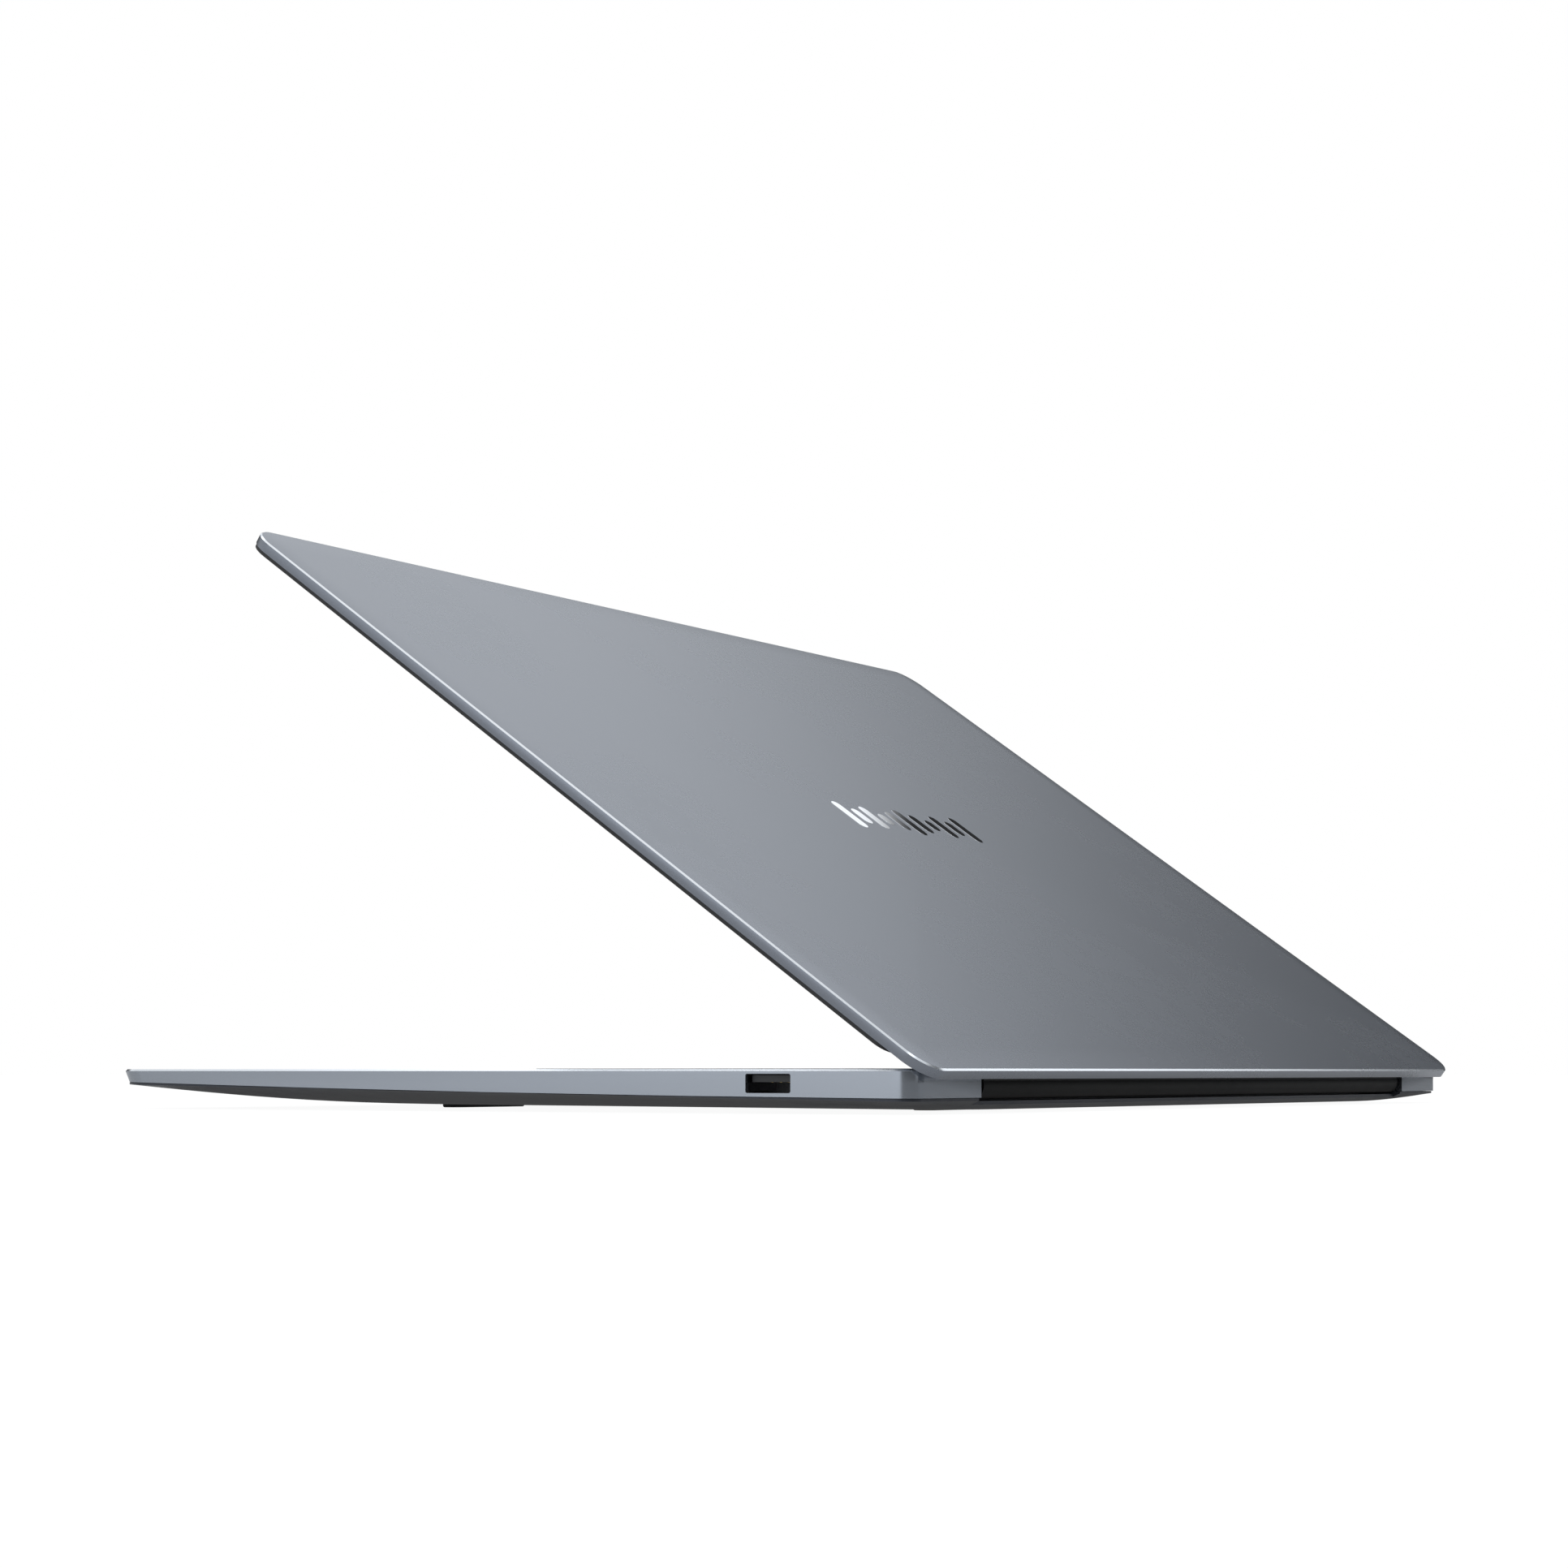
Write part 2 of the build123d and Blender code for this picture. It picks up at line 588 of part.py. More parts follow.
def fan_housing(name, side):
    """Flat box with a round chamber, open towards the fins and through holes in both faces."""
    centre = fan_centre(side)
    with BuildPart() as housing:
        with BuildSketch(centre.offset(fan_top)):
            RectangleRounded(2 * fan_half, 2 * fan_half, 4.0)
        extrude(amount=fan_bottom - fan_top)
        rod(centre, impeller_radius + 1.2, fan_bottom + fan_skin, fan_top - fan_bottom - 2 * fan_skin,
            Mode.SUBTRACT)
        with BuildSketch(centre.offset(fan_bottom + fan_skin)):
            with Locations((0, fan_half / 2)):
                Rectangle(2 * impeller_radius, fan_half + 2)
        extrude(amount=fan_top - fan_bottom - 2 * fan_skin, mode=Mode.SUBTRACT)
        rod(centre, 14.0, fan_top - fan_skin - 0.2, 2.0, Mode.SUBTRACT)
        with BuildSketch(centre.offset(fan_bottom - 0.5)):
            with PolarLocations(9.5, 6):
                Circle(3.6)
        extrude(amount=fan_skin + 0.7, mode=Mode.SUBTRACT)
        rod(centre, 1.2, fan_bottom + 0.1, fan_top - fan_bottom - 0.9)
    finish(housing, name)


def fan_impeller(name, side):
    """Hub and thin swept blades on a short axle bore."""
    centre = fan_centre(side)
    low = fan_bottom + fan_skin + impeller_clearance
    height = fan_top - fan_skin - impeller_clearance - low
    with BuildPart() as impeller:
        rod(centre, 7.5, low, height)
        rod(centre, 1.25, low - 1, height + 2, Mode.SUBTRACT)
        rod(centre, 17.5, low, 0.5)
        rod(centre, 14.0, low - 0.5, 1.1, Mode.SUBTRACT)
        with BuildSketch(centre.offset(low)):
            with PolarLocations(0, 21):
                with BuildLine():
                    RadiusArc((7.0, 0), (impeller_radius - 0.4, 5.5), -22)
                trace(line_width=0.6)
        extrude(amount=height)
    finish(impeller, name)


fan_housing("fan_housing_left", -1)
fan_housing("fan_housing_right", 1)
fan_impeller("fan_impeller_left", -1)
fan_impeller("fan_impeller_right", 1)

with BuildPart() as solid_state_drive:
    box_between((-62, -106, board_bottom - 0.85), (18, -84, board_bottom - 0.02), base_plane)
    with BuildSketch(base_plane.offset(board_bottom - 0.85)):
        with Locations((-48, -95), (-30, -95), (-10, -95)):
            Rectangle(13, 18)
    extrude(amount=-1.2)
finish(solid_state_drive, "solid_state_drive")

with BuildPart() as wireless_card:
    box_between((44, -106, board_bottom - 0.8), (74, -84, board_bottom - 0.02), base_plane)
    box_between((50, -104, board_bottom - 2.2), (70, -90, board_bottom - 0.79), base_plane)
finish(wireless_card, "wireless_card")

with BuildPart() as memory_chips:
    with BuildSketch(base_plane.offset(board_bottom - 0.02)):
        with Locations((-46, -76), (46, -76)):
            with GridLocations(14, 1, 3, 1):
                Rectangle(11, 9)
    extrude(amount=-1.0)
finish(memory_chips, "memory_chips", 6)

with BuildPart() as foam_pads:
    with BuildSketch(base_plane.offset(board_top + 0.02)):
        with Locations((-40, -30), (40, -30), (0, -104)):
            Rectangle(12, 5)
    extrude(amount=0.3)
finish(foam_pads, "foam_pads", 3)

# ---------------------------------------------------------------- battery and speakers
cell_width = 70.0
cell_depth = 56.0
cell_pitch = 73.5
cell_top = -3.55
cell_bottom = -6.1
battery_y = -174.0
with BuildPart() as battery_cells:
    with BuildSketch(base_plane.offset(cell_top)):
        with Locations((0, battery_y)):
            with GridLocations(cell_pitch, 1, 4, 1):
                RectangleRounded(cell_width, cell_depth, 2.0)
    extrude(amount=cell_bottom - cell_top)
    fillet(battery_cells.edges().filter_by(Axis.X), 0.8)
finish(battery_cells, "battery_cells", 4)

with BuildPart() as battery_frame:
    with BuildSketch(base_plane.offset(cell_top - 0.4)):
        with Locations((0, battery_y)):
            RectangleRounded(4 * cell_pitch + 2, cell_depth + 6, 3.0)
            with GridLocations(cell_pitch, 1, 4, 1):
                Rectangle(cell_width + 0.4, cell_depth + 0.4, mode=Mode.SUBTRACT)
    extrude(amount=cell_bottom - cell_top + 0.8)
finish(battery_frame, "battery_frame")


def speaker(name, side):
    """Sound box beside the keyboard with a round driver well in its top."""
    with BuildPart() as box:
        with BuildSketch(base_plane.offset(-wall - 0.2)):
            with Locations((side * speaker_x, speaker_y)):
                RectangleRounded(13.4, 96.0, 3.0)
        extrude(amount=-3.9)
        with BuildSketch(base_plane.offset(-wall - 0.1)):
            with Locations((side * speaker_x, speaker_y - 26), (side * speaker_x, speaker_y + 26)):
                SlotOverall(32, 9.4, rotation=90)
        extrude(amount=-1.6, mode=Mode.SUBTRACT)
    finish(box, name)


speaker("speaker_left", -1)
speaker("speaker_right", 1)

# ---------------------------------------------------------------- hinges
hinge_x = 128.0  # middle of each lid arm
arm_half = 8.5
pin_inner_x = hinge_x - arm_half - 3.8
pin_outer_x = block_inner_x + 14.0
bore_inner_x = hinge_x - arm_half - 4.0  # the bore for the pin in each end of the barrel
axis_centre = side_plane.from_local_coords((-axis_inset, -axis_depth, 0))
axis_line = Plane(origin=axis_centre, x_dir=(0, 1, 0), z_dir=(1, 0, 0))


def hinge_pin(name, side):
    """Steel pin, from the eye inside the corner block into the barrel."""
    with BuildPart() as pin:
        rod(axis_line, pin_radius, side * pin_inner_x, side * (pin_outer_x - pin_inner_x))
    finish(pin, name)


def hinge_bracket(name, side):
    """Steel leaf under the deck with an eye that holds the pin inside the corner block."""
    low_x, high_x = sorted((side * (pin_outer_x + 1.0), side * (block_inner_x + wall + 0.4)))
    with BuildPart() as bracket:
        rod(axis_line, 2.6, low_x, high_x - low_x)
        box_between((low_x, -26, -2.2), (high_x, -axis_inset, -wall - 0.1), base_plane)
        rod(axis_line, pin_radius + 0.01, low_x - 1, high_x - low_x + 2, Mode.SUBTRACT)
        with BuildSketch(base_plane.offset(0)):
            with Locations(((low_x + high_x) / 2, -18)):
                with GridLocations(7, 8, 2, 2):
                    Circle(1.0)
        extrude(amount=-4, mode=Mode.SUBTRACT)
    finish(bracket, name)


def hinge_arm(name, side):
    """Steel arm of the lid: an eye on the pin, a neck, and a leaf inside the lid."""
    low_x, high_x = side * hinge_x - arm_half, side * hinge_x + arm_half
    with BuildPart() as arm:
        rod(lid_side_plane, 2.3, low_x, high_x - low_x)
        box_between((low_x, -1.0, 0), (high_x, 1.0, lid_inner + 1.6), lid_plane)
        box_between((low_x, -16.8, lid_inner + 0.8), (high_x, 1.0, lid_inner + 1.6), lid_plane)
        rod(lid_side_plane, pin_radius + 0.05, low_x - 1, high_x - low_x + 2, Mode.SUBTRACT)
        with BuildSketch(lid_plane.offset(lid_inner)):
            with Locations((side * hinge_x, -11)):
                with GridLocations(9, 6, 2, 2):
                    Circle(1.1)
        extrude(amount=4, mode=Mode.SUBTRACT)
    finish(arm, name)


for label, side in (("left", -1), ("right", 1)):
    hinge_pin(f"hinge_pin_{label}", side)
    hinge_bracket(f"hinge_bracket_{label}", side)
    hinge_arm(f"hinge_arm_{label}", side)

with BuildPart() as hinge_cover:
    rod(lid_side_plane, barrel_radius, -barrel_half_length, 2 * barrel_half_length)
    box_between((-barrel_half_length, -1.9, 0), (barrel_half_length, 1.9, lid_inner - 0.05), lid_plane)
    for side in (-1, 1):
        rod(lid_side_plane, 2.5, side * bore_inner_x, side * (barrel_half_length - bore_inner_x + 1),
            Mode.SUBTRACT)
        slot_low, slot_high = side * hinge_x - arm_half - 0.3, side * hinge_x + arm_half + 0.3
        box_between((slot_low, -1.3, 0), (slot_high, 1.3, lid_inner + 1), lid_plane, Mode.SUBTRACT)
finish(hinge_cover, "hinge_cover")

# ---------------------------------------------------------------- lid
pocket_roof = lid_outer - 0.9
screen_width = 344.8
screen_height = 215.5
screen_front = lid_front + 9.0
bezel_rear = -7.2
emblem_bars = (14.0, 8.0, 12.0, 6.0, 10.0, 14.0, 10.0, 6.0, 12.0, 8.0, 14.0)  # lengths
emblem_pitch = 7.05
emblem_bar_width = 4.2
emblem_sink = 0.25
emblem_y = lid_rear - 127.0


def emblem_profile(grow):
    """A plain row of upright bars, symmetric about the middle of the lid."""
    for index, length in enumerate(emblem_bars):
        with Locations(((index - 5) * emblem_pitch, emblem_y)):
            SlotOverall(length + 2 * grow, emblem_bar_width + 2 * grow, rotation=90)


with BuildPart() as lid_shell:
    with BuildSketch(lid_plane.offset(lid_inner)) as lid_outline:
        rounded_outline(lid_outline, width / 2, lid_front, lid_rear, lid_free_corner, lid_hinge_corner)
    extrude(amount=lid_thickness)
    lid_faces = lid_shell.faces().sort_by(lambda face: lid_plane.to_local_coords(face.center()).Z)
    chamfer(lid_faces[-1].edges(), deck_bevel)
    # pocket for the display, with two bays for the hinge arms
    with BuildSketch(lid_plane.offset(lid_inner)) as pocket:
        rounded_outline(pocket, width / 2 - 3.2, lid_front + 3.2, bezel_rear - 2.0, 6.0, 2.0)
        for side in (-1, 1):
            with Locations((side * hinge_x, -7)):
                Rectangle(2 * arm_half + 1.2, 17.0)
    extrude(amount=pocket_roof - lid_inner, mode=Mode.SUBTRACT)
    with BuildSketch(lid_plane.offset(lid_outer - emblem_sink)):
        emblem_profile(0.0)
    extrude(amount=1, mode=Mode.SUBTRACT)
finish(lid_shell, "lid_shell")

with BuildPart() as lid_emblem:
    with BuildSketch(lid_plane.offset(lid_outer - emblem_sink + 0.01)):
        emblem_profile(-0.04)
    extrude(amount=emblem_sink)
finish(lid_emblem, "lid_emblem", len(emblem_bars))

with BuildPart() as lid_gasket:
    with BuildSketch(lid_plane.offset(lid_inner - 0.02)) as gasket_outline:
        rounded_outline(
            gasket_outline, width / 2 - gasket_inset, lid_front + gasket_inset, bezel_rear,
            lid_free_corner - gasket_inset, 4.0,
        )
    extrude(amount=-gasket_height + 0.02)
    with BuildSketch(lid_plane.offset(lid_inner)) as gasket_inside:
        rounded_outline(
            gasket_inside, width / 2 - 2.8, lid_front + 2.8, bezel_rear - 2.2, lid_free_corner - 2.8, 2.0
        )
    extrude(amount=-3, mode=Mode.SUBTRACT)
finish(lid_gasket, "lid_gasket")

camera_y = lid_front + 5.6
with BuildPart() as screen_bezel:
    with BuildSketch(lid_plane.offset(lid_inner - 0.05)) as bezel_outline:
        rounded_outline(
            bezel_outline, width / 2 - 2.9, lid_front + 2.9, bezel_rear - 2.3, lid_free_corner - 2.9, 1.9
        )
        with Locations((0, screen_front + screen_height / 2)):
            Rectangle(screen_width, screen_height, mode=Mode.SUBTRACT)
        with Locations((0, camera_y)):
            Circle(1.6, mode=Mode.SUBTRACT)
    extrude(amount=-0.45)
finish(screen_bezel, "screen_bezel")

with BuildPart() as display_panel:
    box_between((-screen_width / 2 - 2, screen_front - 2, lid_inner + 0.35),
                (screen_width / 2 + 2, screen_front + screen_height + 2, pocket_roof - 0.15), lid_plane)
finish(display_panel, "display_panel")

with BuildPart() as screen_glass:
    box_between((-screen_width / 2 - 2, screen_front - 2, lid_inner + 0.02),
                (screen_width / 2 + 2, screen_front + screen_height + 2, lid_inner + 0.32), lid_plane)
finish(screen_glass, "screen_glass")

with BuildPart() as camera_module:
    box_between((-16, camera_y - 1.6, lid_inner + 0.6), (16, camera_y + 1.2, pocket_roof - 0.1), lid_plane)
    with BuildSketch(lid_plane.offset(lid_inner + 0.6)):
        with Locations((0, camera_y)):
            Circle(1.3)
    extrude(amount=-0.9)
finish(camera_module, "camera_module")

with BuildPart() as lid_antennas:
    for side in (-1, 1):
        middle = side * 80.0
        box_between((middle - 24, lid_front + 3.6, lid_inner + 0.5),
                    (middle + 24, lid_front + 6.4, lid_inner + 1.7), lid_plane)
finish(lid_antennas, "lid_antennas", 2)

with BuildPart() as lid_magnets:
    for side in (-1, 1):
        middle = side * 140.0
        box_between((middle - 10, lid_front + 3.6, lid_inner + 0.3),
                    (middle + 10, lid_front + 6.4, lid_inner + 1.9), lid_plane)
finish(lid_magnets, "lid_magnets", 2)
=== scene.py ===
import json
import math

import bpy
import numpy as np
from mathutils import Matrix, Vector


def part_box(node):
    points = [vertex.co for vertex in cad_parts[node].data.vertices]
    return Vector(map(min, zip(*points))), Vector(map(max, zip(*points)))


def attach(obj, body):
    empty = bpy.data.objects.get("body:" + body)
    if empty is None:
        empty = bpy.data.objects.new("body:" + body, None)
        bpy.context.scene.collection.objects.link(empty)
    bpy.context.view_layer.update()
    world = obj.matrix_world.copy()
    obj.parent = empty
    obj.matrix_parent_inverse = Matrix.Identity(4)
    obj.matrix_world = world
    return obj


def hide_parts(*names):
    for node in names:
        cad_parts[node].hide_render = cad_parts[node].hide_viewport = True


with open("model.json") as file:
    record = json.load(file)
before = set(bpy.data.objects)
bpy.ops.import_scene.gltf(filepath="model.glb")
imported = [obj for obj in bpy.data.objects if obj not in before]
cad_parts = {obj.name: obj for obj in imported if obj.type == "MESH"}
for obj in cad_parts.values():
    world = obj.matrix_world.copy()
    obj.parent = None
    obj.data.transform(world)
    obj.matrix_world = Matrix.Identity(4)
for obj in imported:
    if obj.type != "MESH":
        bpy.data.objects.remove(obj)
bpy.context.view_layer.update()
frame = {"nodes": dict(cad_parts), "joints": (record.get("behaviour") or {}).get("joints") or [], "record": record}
nodes = frame["nodes"]
bodyOf = {node: body for body, members in frame["record"]["behaviour"]["bodies"].items() for node in members}
jointAt = {joint["name"]: Vector(joint["pos_m"]) for joint in frame["joints"] if "pos_m" in joint}
mm = 0.001

# the laptop's own places, in millimetres, worked out from the frame
hinge = {
    "y": jointAt["lid_hinge"].y / mm,
    "z": jointAt["lid_hinge"].z / mm,
    "opening": math.radians(34.98),  # lid angle at rest, from closed
}
deck = {
    "z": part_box("top_case")[1].z / mm,
    "rearY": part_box("top_case")[1].y / mm,
    "halfWidth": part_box("top_case")[1].x / mm,
}
print("frame loaded:", len(nodes), "nodes")


def lidPlace(points):
    # lid coordinates (lid shut, measured from the hinge axis) turned by the opening about the axis
    c, s = math.cos(hinge["opening"]), math.sin(hinge["opening"])
    x, y, z = points[..., 0], points[..., 1], points[..., 2]
    return np.stack([x, hinge["y"] + c * y + s * z, hinge["z"] - s * y + c * z], -1)


def deckPlace(points):
    # deck coordinates: y back from the rear faces, z up from the deck
    return points + np.array([0.0, deck["rearY"], deck["z"]])


# ---- camera and light

shot = {
    "lens": 72.29,
    "shiftY": 0.1833,
    "azimuth": 121.19,  # round the object, from the front towards the right-hand side
    "sideways": 636.06,  # from the lid's rear right corner to the camera, mm
    "rearwards": 345.57,
    "upwards": -0.6,
}
studio = {
    "floorSize": 12.0,
    "cyclorama": 1.0,  # what the camera sees behind the object
    "cutOff": 0.432,  # height at which the left-hand side of the room turns from dark to bright
    "cutOffWidth": 0.007,
    "darkSide": 0.03,
    "brightSide": 1.15,
    "upperSide": 0.75,
    "rightFront": 0.80,  # the right-hand side of the room, brighter away from the front
    "rightRear": 1.7,
    "topLight": 1.75,
    "topMiddle": 0.4,
    "rearWall": 0.0,
    "rearStrip": 1.55,  # a low bright strip behind on the left, for the lid's hinge edge
}
room = {
    # where each change of tone starts and ends, as a part of the direction's unit vector
    "upperLeft": (0.5, 0.68),
    "stripRear": (0.25, 0.35), "stripLow": (0.11, 0.14), "stripHigh": (0.20, 0.24),
    "right": (0.68, 0.86), "leftToRight": (-0.55, 0.1),
    "overhead": (0.72, 0.84), "ceilingMiddle": (0.87, 0.93),
    "rearWall": (0.62, 0.80), "rearWallTop": (0.35, 0.55), "rearWallTowards": (0.40, 0.917, 0.0),
    "tint": (0.94, 0.97, 1.0),
}
floorLook = {
    # albedo and glow, seen straight from the camera and by all other rays
    "seenAlbedo": 0.10, "seenGlow": 0.94, "otherAlbedo": 0.5, "otherGlow": 0.16, "roughness": 0.9,
}
lamps = {
    # name: place, target, size, watts
    "overhead": ((0.1, -0.2, 1.5), (0, 0, 0), (1.5, 1.1), 3.0),
}


def makeCamera():
    data = bpy.data.cameras.new("camera")
    data.lens = shot["lens"]
    data.sensor_width = 36.0
    data.shift_y = shot["shiftY"]
    camera = bpy.data.objects.new("camera", data)
    bpy.context.scene.collection.objects.link(camera)
    corner = Vector(lidPlace(np.array([lid["halfWidth"] - 0.2, lid["rear"], lid["outer"]])))
    camera.location = (corner + Vector((shot["sideways"], shot["rearwards"], shot["upwards"]))) * mm
    turn = math.radians(shot["azimuth"])
    lookAlong = Vector((-math.sin(turn), math.cos(turn), 0))
    camera.rotation_mode = "QUATERNION"
    camera.rotation_quaternion = lookAlong.to_track_quat("-Z", "Y")
    data.clip_start, data.clip_end = 0.01, 100
    bpy.context.scene.camera = camera


def areaLight(name, place, target, size, energy):
    data = bpy.data.lights.new(name, "AREA")
    data.shape = "RECTANGLE"
    data.size, data.size_y = size
    data.energy = energy
    lamp = bpy.data.objects.new(name, data)
    bpy.context.scene.collection.objects.link(lamp)
    lamp.location = place
    lamp.rotation_mode = "QUATERNION"
    lamp.rotation_quaternion = (Vector(target) - Vector(place)).to_track_quat("-Z", "Y")
    lamp.visible_camera = False


def rangeNode(tree, value, low, high, toLow=0.0, toHigh=1.0):
    node = tree.nodes.new("ShaderNodeMapRange")
    node.interpolation_type = "SMOOTHSTEP"
    tree.links.new(value, node.inputs["Value"])
    for label, number in (("From Min", low), ("From Max", high), ("To Min", toLow), ("To Max", toHigh)):
        node.inputs[label].default_value = number
    return node.outputs[0]


def mathNode(tree, operation, first, second=None):
    node = tree.nodes.new("ShaderNodeMath")
    node.operation = operation
    for slot, value in enumerate((first, second)):
        if value is None:
            continue
        if isinstance(value, (int, float)):
            node.inputs[slot].default_value = value
        else:
            tree.links.new(value, node.inputs[slot])
    return node.outputs[0]


def blendNode(tree, mask, first, second):
    # first where the mask is 0, second where it is 1; both are plain numbers or sockets
    node = tree.nodes.new("ShaderNodeMix")
    tree.links.new(mask, node.inputs["Factor"])
    for slot, value in (("A", first), ("B", second)):
        if isinstance(value, (int, float)):
            node.inputs[slot].default_value = value
        else:
            tree.links.new(value, node.inputs[slot])
    return node.outputs["Result"]


def makeWorld():
    # a soft room: dark low on the left, bright above the cut-off, grey on the right, a dark wall at the rear
    world = bpy.data.worlds.new("studio")
    bpy.context.scene.world = world
    world.use_nodes = True
    tree = world.node_tree
    tree.nodes.clear()
    make, link = tree.nodes.new, tree.links.new
    split = make("ShaderNodeSeparateXYZ")
    link(make("ShaderNodeTexCoord").outputs["Generated"], split.inputs[0])
    cut, half = studio["cutOff"], studio["cutOffWidth"]
    height = split.outputs["Z"]
    bright = rangeNode(tree, height, cut - half, cut + half)
    upper = rangeNode(tree, height, *room["upperLeft"], studio["brightSide"], studio["upperSide"])
    left = blendNode(tree, bright, studio["darkSide"], upper)
    rearward = rangeNode(tree, split.outputs["Y"], *room["stripRear"])
    stripLow = rangeNode(tree, height, *room["stripLow"])
    stripHigh = rangeNode(tree, height, *room["stripHigh"], 1.0, 0.0)
    strip = mathNode(tree, "MULTIPLY", mathNode(tree, "MULTIPLY", stripLow, stripHigh), rearward)
    left = blendNode(tree, strip, left, studio["rearStrip"])
    right = rangeNode(tree, split.outputs["X"], *room["right"], studio["rightFront"], studio["rightRear"])
    rightMask = rangeNode(tree, split.outputs["X"], *room["leftToRight"])
    sides = blendNode(tree, rightMask, left, right)
    overhead = rangeNode(tree, height, *room["overhead"])
    ceiling = rangeNode(tree, height, *room["ceilingMiddle"], studio["topLight"], studio["topMiddle"])
    around = blendNode(tree, overhead, sides, ceiling)
    # a dark wall behind, low down, which only the rounded rear corners reflect
    towards = make("ShaderNodeVectorMath")
    towards.operation = "DOT_PRODUCT"
    link(split.inputs[0].links[0].from_socket, towards.inputs[0])
    towards.inputs[1].default_value = room["rearWallTowards"]
    behind = rangeNode(tree, towards.outputs["Value"], *room["rearWall"])
    lowDown = rangeNode(tree, height, *room["rearWallTop"], 1.0, 0.0)
    tone = blendNode(tree, mathNode(tree, "MULTIPLY", behind, lowDown), around, studio["rearWall"])
    soft = make("ShaderNodeBackground")
    soft.inputs["Color"].default_value = (*room["tint"], 1)
    link(tone, soft.inputs["Strength"])
    plain = make("ShaderNodeBackground")
    plain.inputs["Color"].default_value = (1, 1, 1, 1)
    plain.inputs["Strength"].default_value = studio["cyclorama"]
    mix = make("ShaderNodeMixShader")
    link(make("ShaderNodeLightPath").outputs["Is Camera Ray"], mix.inputs[0])
    link(soft.outputs[0], mix.inputs[1])
    link(plain.outputs[0], mix.inputs[2])
    link(mix.outputs[0], make("ShaderNodeOutputWorld").inputs[0])


def makeFloor():
    # pale matt floor; straight from the camera it is lifted to nearly white, so its shadows stay faint
    material = bpy.data.materials.new("paleFloor")
    material.use_nodes = True
    tree = material.node_tree
    make, link = tree.nodes.new, tree.links.new
    matt = tree.nodes["Principled BSDF"]
    lifted = make("ShaderNodeBsdfPrincipled")
    for shader, albedo, glow in ((matt, floorLook["otherAlbedo"], floorLook["otherGlow"]),
                                 (lifted, floorLook["seenAlbedo"], floorLook["seenGlow"])):
        shader.inputs["Base Color"].default_value = (albedo, albedo, albedo, 1)
        shader.inputs["Roughness"].default_value = floorLook["roughness"]
        shader.inputs["Specular IOR Level"].default_value = 0.0
        shader.inputs["Emission Color"].default_value = (1, 1, 1, 1)
        shader.inputs["Emission Strength"].default_value = glow
    mix = make("ShaderNodeMixShader")
    link(make("ShaderNodeLightPath").outputs["Is Camera Ray"], mix.inputs[0])
    link(matt.outputs[0], mix.inputs[1])
    link(lifted.outputs[0], mix.inputs[2])
    link(mix.outputs[0], tree.nodes["Material Output"].inputs["Surface"])
    half = studio["floorSize"] / 2
    mesh = bpy.data.meshes.new("floor")
    corners = [(-half, -half, 0), (half, -half, 0), (half, half, 0), (-half, half, 0)]
    mesh.from_pydata(corners, [], [(0, 1, 2, 3)])
    floor = bpy.data.objects.new("floor", mesh)
    bpy.context.scene.collection.objects.link(floor)
    floor.data.materials.append(material)


# ---- shared effects, each a group that gives masks, values and colours

def newGroup(name, inputs, outputs):
    group = bpy.data.node_groups.new(name, "ShaderNodeTree")
    for label, kind, value in inputs:
        socket = group.interface.new_socket(label, in_out="INPUT", socket_type=kind)
        if value is not None:
            socket.default_value = value
    for label, kind in outputs:
        group.interface.new_socket(label, in_out="OUTPUT", socket_type=kind)
    return group, group.nodes.new("NodeGroupInput"), group.nodes.new("NodeGroupOutput")


def noiseNode(tree, vector, scale, detail=2.0, roughness=0.5):
    node = tree.nodes.new("ShaderNodeTexNoise")
    node.inputs["Detail"].default_value = detail
    node.inputs["Roughness"].default_value = roughness
    tree.links.new(vector, node.inputs["Vector"])
    if isinstance(scale, (int, float)):
        node.inputs["Scale"].default_value = scale
    else:
        tree.links.new(scale, node.inputs["Scale"])
    return node.outputs["Fac"]


def makeGrainGroup():
    # fine blasted or moulded grain: two sizes of noise, as a height and as a small tone change
    group, source, sink = newGroup(
        "grain", [("Vector", "NodeSocketVector", None), ("Scale", "NodeSocketFloat", 3000.0)],
        [("Height", "NodeSocketFloat"), ("Tone", "NodeSocketFloat")],
    )
    fine = noiseNode(group, source.outputs["Vector"], source.outputs["Scale"], 3.0, 0.6)
    coarseScale = mathNode(group, "MULTIPLY", source.outputs["Scale"], 0.22)
    coarse = noiseNode(group, source.outputs["Vector"], coarseScale, 2.0, 0.5)
    height = mathNode(group, "MULTIPLY_ADD", coarse, 0.5)
    group.links.new(fine, height.node.inputs[2])
    group.links.new(height, sink.inputs["Height"])
    group.links.new(rangeNode(group, fine, 0.3, 0.7), sink.inputs["Tone"])
    return group


def makeHazeGroup():
    # faint handling marks: wide soft patches broken up by streaks, as a roughness change
    group, source, sink = newGroup(
        "haze", [("Vector", "NodeSocketVector", None), ("Scale", "NodeSocketFloat", 14.0),
                 ("Amount", "NodeSocketFloat", 0.05)],
        [("Roughness", "NodeSocketFloat"), ("Mask", "NodeSocketFloat")],
    )
    patches = noiseNode(group, source.outputs["Vector"], source.outputs["Scale"], 3.0)
    wide = rangeNode(group, patches, 0.35, 0.7)
    streakScale = mathNode(group, "MULTIPLY", source.outputs["Scale"], 9.0)
    streaks = noiseNode(group, source.outputs["Vector"], streakScale, 4.0, 0.7)
    streak = rangeNode(group, streaks, 0.3, 0.75)
    mask = mathNode(group, "MULTIPLY", wide, streak)
    group.links.new(mask, sink.inputs["Mask"])
    group.links.new(mathNode(group, "MULTIPLY", mask, source.outputs["Amount"]), sink.inputs["Roughness"])
    return group


